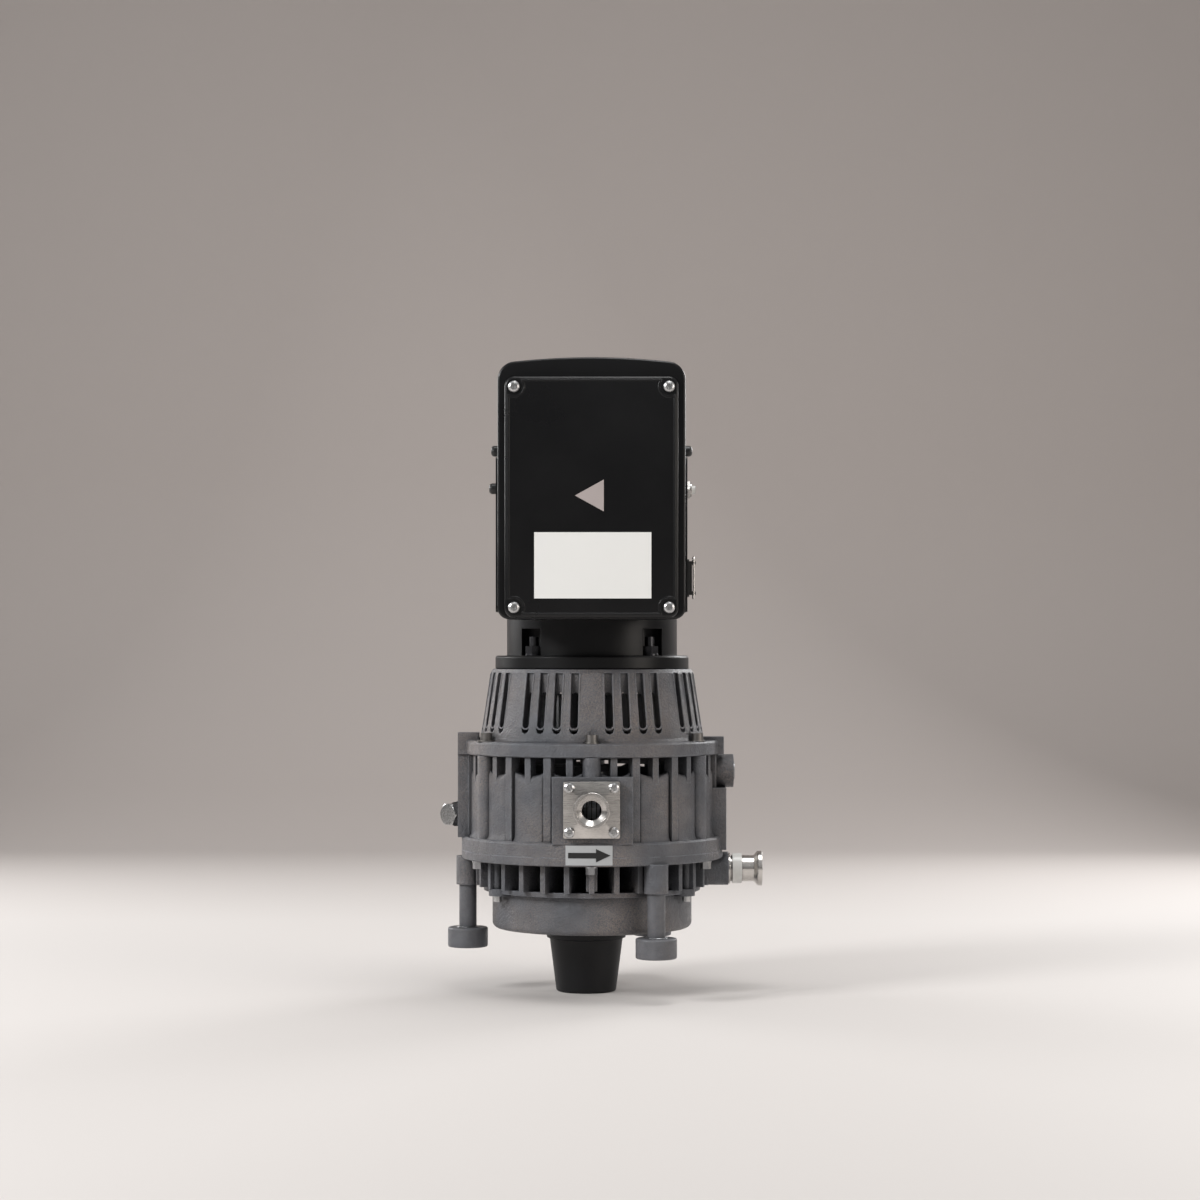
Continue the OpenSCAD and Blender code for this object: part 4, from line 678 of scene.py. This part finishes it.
@dataclass
class ControlBox:
    """Shell and cover of the control box: rounded edges, raised line and lobes round the screws."""

    back: float = -76.5
    foot: float = 319.5
    width: float = 154.0
    side: float = 199.0
    top_corner: float = 15.0
    foot_corner: float = 9.0
    crown: float = 3.4
    depth: float = 52.0
    wall: float = 3.0
    lid_width: float = 142.0
    lid_height: float = 197.0
    lid_centre: float = 419.0
    lid_corner: float = 8.0
    screw_x: float = 63.25
    screw_z: float = 90.0
    lobe: float = 8.2
    line_inset: float = 3.1
    rim: float = 6.0
    rim_depth: float = 4.0
    back_round: float = 3.5
    front_round: float = 2.0
    post_radius: float = 5.5
    cover_depth: float = 7.0
    cover_gap: float = 1.0
    cover_step: float = 6.0
    cover_round: float = 2.2
    fitting_middle: float = -104.5
    socket_height: float = 353.5
    socket_half: tuple[float, float] = (10.05, 13.55)
    socket_corner: float = 2.0
    button_height: float = 426.5
    button_radius: float = 6.05
    cut_span: tuple[float, float] = (70.0, 80.0)

    def place(self, x: np.ndarray, z: np.ndarray, out: np.ndarray) -> np.ndarray:
        """Points of the box: x across, z up, out is the distance in front of its back."""
        return np.stack(np.broadcast_arrays(x, self.back - out, z), -1)

    def outline(self) -> np.ndarray:
        """Box outline, anticlockwise: round lower corners, straight sides, round shoulders, arched top.

        Between the shoulders z = shoulder + corner + crown (1 - (x / x0)^2).
        """
        half = self.width / 2
        low, high = self.foot + self.foot_corner, self.foot + self.side - self.wall
        x0 = half - self.top_corner
        x = np.linspace(x0, -x0, 33)[1:-1]
        arch = np.stack([x, high + self.top_corner + self.crown * (1 - (x / x0) ** 2)], -1)
        sides = np.linspace(low, high, 9)[1:-1]
        return np.concatenate([
            corner((-half + self.foot_corner, low), self.foot_corner, 180, 270),
            corner((half - self.foot_corner, low), self.foot_corner, 270, 360),
            np.stack([np.full_like(sides, half), sides], -1),
            corner((x0, high), self.top_corner, 0, 88), arch, corner((-x0, high), self.top_corner, 92, 180),
            np.stack([np.full_like(sides, -half), sides[::-1]], -1)])

    def rings(self, surface: Surface, rings: Sequence[tuple[np.ndarray, float]]) -> None:
        """Joins outlines of the same number of points, each at its own depth, into one closed skin.

        P(u, v) = o_v(u) at depth d_v; the first and the last ring are closed by flat caps.

        Args:
            surface: where it goes.
            rings: pairs of an outline, x and z, and its depth.
        """
        surface.swept(np.stack([self.place(line[:, 0], line[:, 1], np.full(len(line), depth))
                                for line, depth in rings]))

    def by_angle(self, outline: np.ndarray, count: int = 420) -> np.ndarray:
        """Samples an outline at even angles about the cover's middle.

        The ray (cos t, sin t) meets the edge p + k e at r = (p x e) / (ray x e).

        Args:
            outline: closed outline round the cover's middle.
            count: number of rays.

        Returns:
            The outline's points on the rays.
        """
        arm = outline - np.array([0.0, self.lid_centre])
        turn = np.arctan2(arm[:, 1], arm[:, 0]) % (2 * np.pi)
        order = np.argsort(turn)
        even = np.linspace(0, 2 * np.pi, count, endpoint=False)
        slot = (np.searchsorted(turn[order], even, side="right") - 1) % len(order)
        near, edge = arm[order][slot], (np.roll(arm[order], -1, 0) - arm[order])[slot]
        ray = np.stack([np.cos(even), np.sin(even)], -1)
        reach = ((near[:, 0] * edge[:, 1] - near[:, 1] * edge[:, 0])
                 / (ray[:, 0] * edge[:, 1] - ray[:, 1] * edge[:, 0]))
        return ray * reach[:, None] + np.array([0.0, self.lid_centre])

    def shell(self) -> bpy.types.Object:
        """Hollow box with round edges, a rim round its open front, and posts for the cover's screws."""
        turn = np.radians(np.linspace(0, 90, 7))
        outer = self.by_angle(self.outline())
        out = outline_normals(outer)
        mouth = self.by_angle(self.lid_outline(self.rim))
        wall = outer - self.wall * out
        back, front, inside = self.back_round, self.front_round, self.depth - self.rim_depth
        rings = [(outer + back * (math.sin(t) - 1) * out, back * (1 - math.cos(t))) for t in turn]
        rings += [(outer + front * (math.cos(t) - 1) * out, self.depth + front * (math.sin(t) - 1))
                  for t in turn]
        rings += [(mouth, self.depth), (mouth, inside), (wall, inside),
                  (wall, self.wall + front), (wall - front * out, self.wall)]
        surface = Surface()
        self.rings(surface, rings)
        foot = self.wall - 0.5
        post = np.array([(AXIS, foot), (self.post_radius, foot), (self.post_radius, self.depth),
                         (AXIS, self.depth)])
        for x in (-self.screw_x, self.screw_x):
            for z in (-self.screw_z, self.screw_z):
                surface.lathe(post, (x, self.back, self.lid_centre + z), (0, -1, 0), 24)
        return surface.build("control_box_shell", BOX_BLACK, "pump_frame", "black_paint", ("control_box",))

    def cut(self, made: bpy.types.Object, cutters: Surface) -> None:
        """Cuts closed shapes out of a piece with a Boolean modifier, and applies it.

        Args:
            made: the piece.
            cutters: the shapes, in mm.
        """
        knife = bpy.data.objects.new("cutter", cutters.mesh("cutter"))
        bpy.context.scene.collection.objects.link(knife)
        modifier = made.modifiers.new("holes", "BOOLEAN")
        modifier.object = knife
        modifier.solver = "EXACT"
        bpy.context.view_layer.update()
        solved = made.evaluated_get(bpy.context.evaluated_depsgraph_get())
        result = bpy.data.meshes.new_from_object(solved)
        made.modifiers.clear()
        made.data = result
        bpy.data.objects.remove(knife)

    def holes(self) -> Surface:
        """Cutters of the power inlet's and the button's openings in the right wall."""
        surface = Surface()
        socket = self.rounded(*self.socket_half, self.socket_corner, 5)
        button = corner((0.0, 0.0), self.button_radius, 0.0, 360.0, 33)[:-1]
        x = np.array(self.cut_span)[:, None]
        for outline, height in ((socket, self.socket_height), (button, self.button_height)):
            y, z = outline[None, :, 0] + self.fitting_middle, outline[None, :, 1] + height
            surface.swept(np.stack(np.broadcast_arrays(x, y, z), -1))
        return surface

    def rounded(self, a: float, b: float, r: float, count: int = 9) -> np.ndarray:
        """Rectangle with round corners about the origin, anticlockwise.

        Args:
            a: half width.
            b: half height.
            r: corner radius.
            count: points of one corner.

        Returns:
            The outline's points.
        """
        return np.concatenate([
            corner((a - r, b - r), r, 0, 90, count), corner((-a + r, b - r), r, 90, 180, count),
            corner((-a + r, -b + r), r, 180, 270, count), corner((a - r, -b + r), r, 270, 360, count)])

    def lid_outline(self, inset: float) -> np.ndarray:
        """Rectangle with round corners, anticlockwise, inset from the cover's edge."""
        a, b = self.lid_width / 2 - inset, self.lid_height / 2 - inset
        r = max(1.0, self.lid_corner - inset)
        return self.rounded(a, b, r) + np.array([0.0, self.lid_centre])

    def raised_line(self) -> np.ndarray:
        """Loop that follows the cover's edge and runs inwards round each screw.

        Each corner is an arc about the screw between the points where it meets the inset rectangle.
        """
        a, b = self.lid_width / 2 - self.line_inset, self.lid_height / 2 - self.line_inset
        dx, dz = a - self.screw_x, b - self.screw_z
        start = math.degrees(math.atan2(-math.sqrt(self.lobe ** 2 - dx ** 2), dx))
        end = math.degrees(math.atan2(dz, -math.sqrt(self.lobe ** 2 - dz ** 2))) - 360.0
        arc = corner((self.screw_x, self.screw_z), self.lobe, start, end, 21)
        flip = np.array([-1.0, 1.0])
        top = np.stack([np.linspace(arc[-1, 0], -arc[-1, 0], 25)[1:-1], np.full(23, b)], -1)
        left = np.stack([np.full(33, -a), np.linspace(arc[0, 1], -arc[0, 1], 35)[1:-1]], -1)
        half = np.concatenate([arc, top, (arc * flip)[::-1], left])
        return np.concatenate([half, -half]) + np.array([0.0, self.lid_centre])

    def cover(self) -> None:
        """Cover with a round edge, a raised line with lobes, and a shallow step behind its edge."""
        turn = np.radians(np.linspace(0, 90, 7))
        back, front = self.depth + self.cover_gap, self.depth + self.cover_depth
        edge_round = self.cover_round
        rounding = np.stack([edge_round * (np.cos(turn) - 1), front + edge_round * (np.sin(turn) - 1)], -1)
        profile = np.concatenate([[[-self.cover_step, back], [-0.8, back], [0.0, back + 0.8]], rounding])
        surface = Surface()
        edge = self.lid_outline(0.0)
        out = outline_normals(edge)
        self.rings(surface, [(edge + offset * out, depth) for offset, depth in profile])
        line = self.raised_line()
        path = self.place(line[:, 0], line[:, 1], np.full(len(line), front - 0.1))
        surface.bead(path, np.tile([0.0, -1.0, 0.0], (len(line), 1)), 0.75, 0.5)
        surface.build("control_box_lid", BOX_BLACK, "pump_frame", "black_paint", ("box_cover",))

    def build(self) -> None:
        """Builds the shell with its openings, then the cover."""
        self.cut(self.shell(), self.holes())
        self.cover()


@dataclass
class InletPort:
    """Square inlet plate with its clamp-flange nozzle: brushed plate, polished turned nozzle."""

    face: float = 110.5
    height: float = 162.6
    half: float = 23.4
    plate: float = 6.0
    edge_round: float = 0.5
    bore: float = 8.0
    way: float = 9.0
    neck: float = 11.0
    rim: float = 15.0
    length: float = 16.2
    squareness: float = 40.0

    def square_plate(self) -> None:
        """Plate with round edges and a round hole.

        Outer edge: r(t) = half / (|cos t|^p + |sin t|^p)^(1/p), a square with small round corners for a
        large squareness p.
        """
        turn = np.linspace(0, 2 * np.pi, 256, endpoint=False)
        power = self.squareness
        edge = self.half / (np.abs(np.cos(turn)) ** power + np.abs(np.sin(turn)) ** power) ** (1 / power)
        soft = self.edge_round
        steps = ((-soft, 0.0), (0.0, soft), (0.0, self.plate - soft),
                 (-0.3 * soft, self.plate - 0.3 * soft), (-soft, self.plate))
        rings = [(edge + inset, depth) for inset, depth in steps]
        rings += [(np.full_like(edge, self.way), self.plate), (np.full_like(edge, self.way), 0.0)]
        surface = Surface()
        loops = [np.stack([reach * np.cos(turn), np.full_like(turn, -self.face - depth),
                           self.height + reach * np.sin(turn)], -1) for reach, depth in rings]
        surface.grid(np.stack(loops), wrap_u=True, wrap_v=True)
        surface.build("inlet_square_plate", BRUSHED, "pump_frame", "polished_steel", ("inlet_flange",))

    def nozzle(self) -> None:
        """Turned nozzle: fillet on the plate, neck, slanted back of the rim, and a coned mouth."""
        profile = np.array([
            (self.bore, 1.0), (self.bore, self.length - 3.4), (self.bore + 0.4, self.length - 3.0),
            (12.2, self.length - 0.5), (12.6, self.length), (self.rim - 0.4, self.length),
            (self.rim, self.length - 0.4), (self.rim, self.length - 2.6), (self.rim - 0.4, self.length - 3.2),
            (self.neck + 0.5, 10.9), (self.neck, 10.2), (self.neck, 7.4), (self.neck + 0.3, 6.6),
            (self.neck + 1.2, 6.05), (self.neck + 1.2, 5.0), (self.way + 0.3, 5.0), (self.way + 0.3, 1.0)])
        surface = Surface()
        surface.lathe(profile, (0.0, -self.face, self.height), (0, -1, 0), 96)
        surface.build("inlet_nozzle", STAINLESS, "pump_frame", "polished_steel", angle=25.0)

    def build(self) -> None:
        """Adds the plate and the nozzle."""
        self.square_plate()
        self.nozzle()


@dataclass
class LegRings:
    """Bright ring where each leg enters its foot."""

    angles: Sequence[float] = (30.0, 150.0, 270.0)
    circle: float = 107.3
    foot_top: float = 55.0
    ring_radius: float = 8.5
    half_width: float = 1.4
    half_height: float = 0.55
    lift: float = 0.35

    def build(self) -> None:
        """Turns a small oval about each leg: r = ring + w cos t, z = lift + h sin t."""
        surface = Surface()
        turn = np.linspace(0, 2 * np.pi, 12, endpoint=False)
        ring = np.stack([self.ring_radius + self.half_width * np.cos(turn),
                         self.lift + self.half_height * np.sin(turn)], -1)
        for angle in self.angles:
            surface.lathe(ring, polar(self.circle, angle, self.foot_top), (0, 0, 1), 48)
        surface.build("leg_foot_rings", STEEL, "pump_frame", "steel_screws")


def dress_nodes() -> None:
    """Gives every CAD node its finish."""
    for group, (finish, nodes) in DRESS.items():
        material = finish.build()
        for node in nodes:
            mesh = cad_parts[node].data
            mesh.materials.clear()
            mesh.materials.append(material)
        LOG.info("%s: %s", group, ", ".join(nodes))


@dataclass
class Studio:
    """Floor, backdrop, lamps and camera. The view is level, like the photograph's."""

    eye_height: float = 0.2943
    eye_side: float = 0.0069
    distance: float = 2.336
    view_width: float = 1.038
    frame_px: float = 1200.0
    horizon_px: float = 50.0
    floor_size: float = 6.0
    backdrop_y: float = 2.2
    sweep_radius: float = 0.6
    aim_height: float = 0.27
    floor_colour: Colour = (0.62, 0.59, 0.57)
    wall_colour: Colour = (0.42, 0.38, 0.36)
    seen_colour: Colour = (0.50, 0.47, 0.45)
    sky: tuple[float, float] = (0.05, 0.75)
    sky_power: float = 0.55

    def camera(self) -> None:
        """Places the level camera; the shift puts the horizon where the photograph has it."""
        data = bpy.data.cameras.new("view")
        data.angle = 2.0 * math.atan(self.view_width / 2.0 / self.distance)
        data.shift_y = self.horizon_px / self.frame_px
        data.clip_start = 0.05
        made = bpy.data.objects.new("view", data)
        made.location = (self.eye_side, -self.distance, self.eye_height)
        made.rotation_euler = (math.radians(90.0), 0.0, 0.0)
        bpy.context.scene.collection.objects.link(made)
        bpy.context.scene.camera = made

    def sweep(self) -> None:
        """Floor and wall in one surface: level, then a quarter circle, then upright."""
        radius = self.sweep_radius
        turn = np.linspace(0.0, np.pi / 2.0, 25)
        y = np.concatenate(([-self.floor_size], self.backdrop_y - radius + radius * np.sin(turn),
                            [self.backdrop_y]))
        z = np.concatenate(([0.0], radius - radius * np.cos(turn), [self.floor_size]))
        x = np.array([-self.floor_size, self.floor_size])
        verts = np.stack([np.repeat(x, len(y)), np.tile(y, 2), np.tile(z, 2)], axis=1)
        i = np.arange(len(y) - 1)
        faces = np.stack([i, i + len(y), i + len(y) + 1, i + 1], axis=1)
        mesh = bpy.data.meshes.new("studio_sweep")
        mesh.from_pydata(verts.tolist(), [], faces.tolist())
        mesh.polygons.foreach_set("use_smooth", np.ones(len(faces), bool))
        made = bpy.data.objects.new("studio_sweep", mesh)
        bpy.context.scene.collection.objects.link(made)
        shader = Shader("studio_surface", self.floor_colour, 0.7)
        split = shader.node("ShaderNodeSeparateXYZ")
        shader.link(shader.coords.outputs[Coord.OBJECT.value], split.inputs[0])
        far = shader.ramp(split.outputs["Y"], 0.6, 1.9)
        shader.colour(shader.mix(far, self.floor_colour, self.wall_colour))
        mesh.materials.append(shader.material)

    def lamp(self, name: str, place: Sequence[float], size: float, power: float,
             tint: Colour = (1.0, 1.0, 1.0)) -> None:
        """Adds a square lamp that faces the pump's middle.

        Args:
            name: the lamp's name.
            place: where it stands, in metres.
            size: side of the square in metres.
            power: its power in watts.
            tint: colour of its light.
        """
        data = bpy.data.lights.new(name, "AREA")
        data.size = size
        data.energy = power
        data.color = tint
        made = bpy.data.objects.new(name, data)
        made.location = place
        aim = np.array([0.0, 0.0, self.aim_height]) - np.array(place)
        flat = math.hypot(aim[0], aim[1])
        made.rotation_euler = (math.atan2(flat, -aim[2]), 0.0, math.atan2(aim[1], aim[0]) - math.pi / 2.0)
        bpy.context.scene.collection.objects.link(made)

    def build(self) -> None:
        """Makes the whole studio."""
        self.camera()
        self.sweep()
        self.lamp("key", (-1.7, -1.2, 1.3), 0.6, 34.0)
        self.lamp("fill", (1.8, -1.1, 0.7), 0.8, 11.0, (1.0, 0.93, 0.86))
        self.lamp("top", (0.2, -0.3, 1.9), 0.8, 13.0)
        self.lamp("rim_right", (1.1, 1.3, 0.9), 0.7, 16.0)
        self.lamp("rim_left", (-1.4, 1.0, 0.8), 0.7, 12.0)
        self.surroundings()
        bpy.context.scene.view_settings.view_transform = "Standard"

    def surroundings(self) -> None:
        """World that is dark below and pale above, so that bare metal shows an edge between them.

        The camera itself sees one pale colour behind the sweep.
        """
        world = bpy.data.worlds.new("studio")
        world.use_nodes = True
        nodes, links = world.node_tree.nodes, world.node_tree.links
        coords = nodes.new("ShaderNodeTexCoord")
        split = nodes.new("ShaderNodeSeparateXYZ")
        rise = nodes.new("ShaderNodeMapRange")
        rise.inputs["From Min"].default_value = -0.05
        rise.inputs["From Max"].default_value = 0.45
        rise.inputs["To Min"].default_value = self.sky[0]
        rise.inputs["To Max"].default_value = self.sky[1]
        path = nodes.new("ShaderNodeLightPath")
        seen = nodes.new("ShaderNodeMix")
        seen.data_type = "RGBA"
        seen.inputs[7].default_value = (*self.seen_colour, 1.0)
        power = nodes.new("ShaderNodeMix")
        power.inputs[2].default_value = self.sky_power
        power.inputs[3].default_value = 1.0
        links.new(path.outputs["Is Camera Ray"], power.inputs[0])
        links.new(power.outputs[0], nodes["Background"].inputs["Strength"])
        links.new(path.outputs["Is Camera Ray"], seen.inputs[0])
        links.new(coords.outputs[Coord.DIRECTION.value], split.inputs[0])
        links.new(split.outputs["Z"], rise.inputs["Value"])
        links.new(rise.outputs["Result"], seen.inputs[6])
        links.new(seen.outputs[2], nodes["Background"].inputs["Color"])
        bpy.context.scene.world = world


def main() -> None:
    """Builds the studio, dresses the nodes and adds the modelled pieces."""
    logging.basicConfig(level=logging.INFO)
    Studio().build()
    dress_nodes()
    for assembly in (CasingPanels(), BellLips(), ControlBox(), InletPort(), LegRings()):
        assembly.build()


if __name__ == "__main__":
    main()
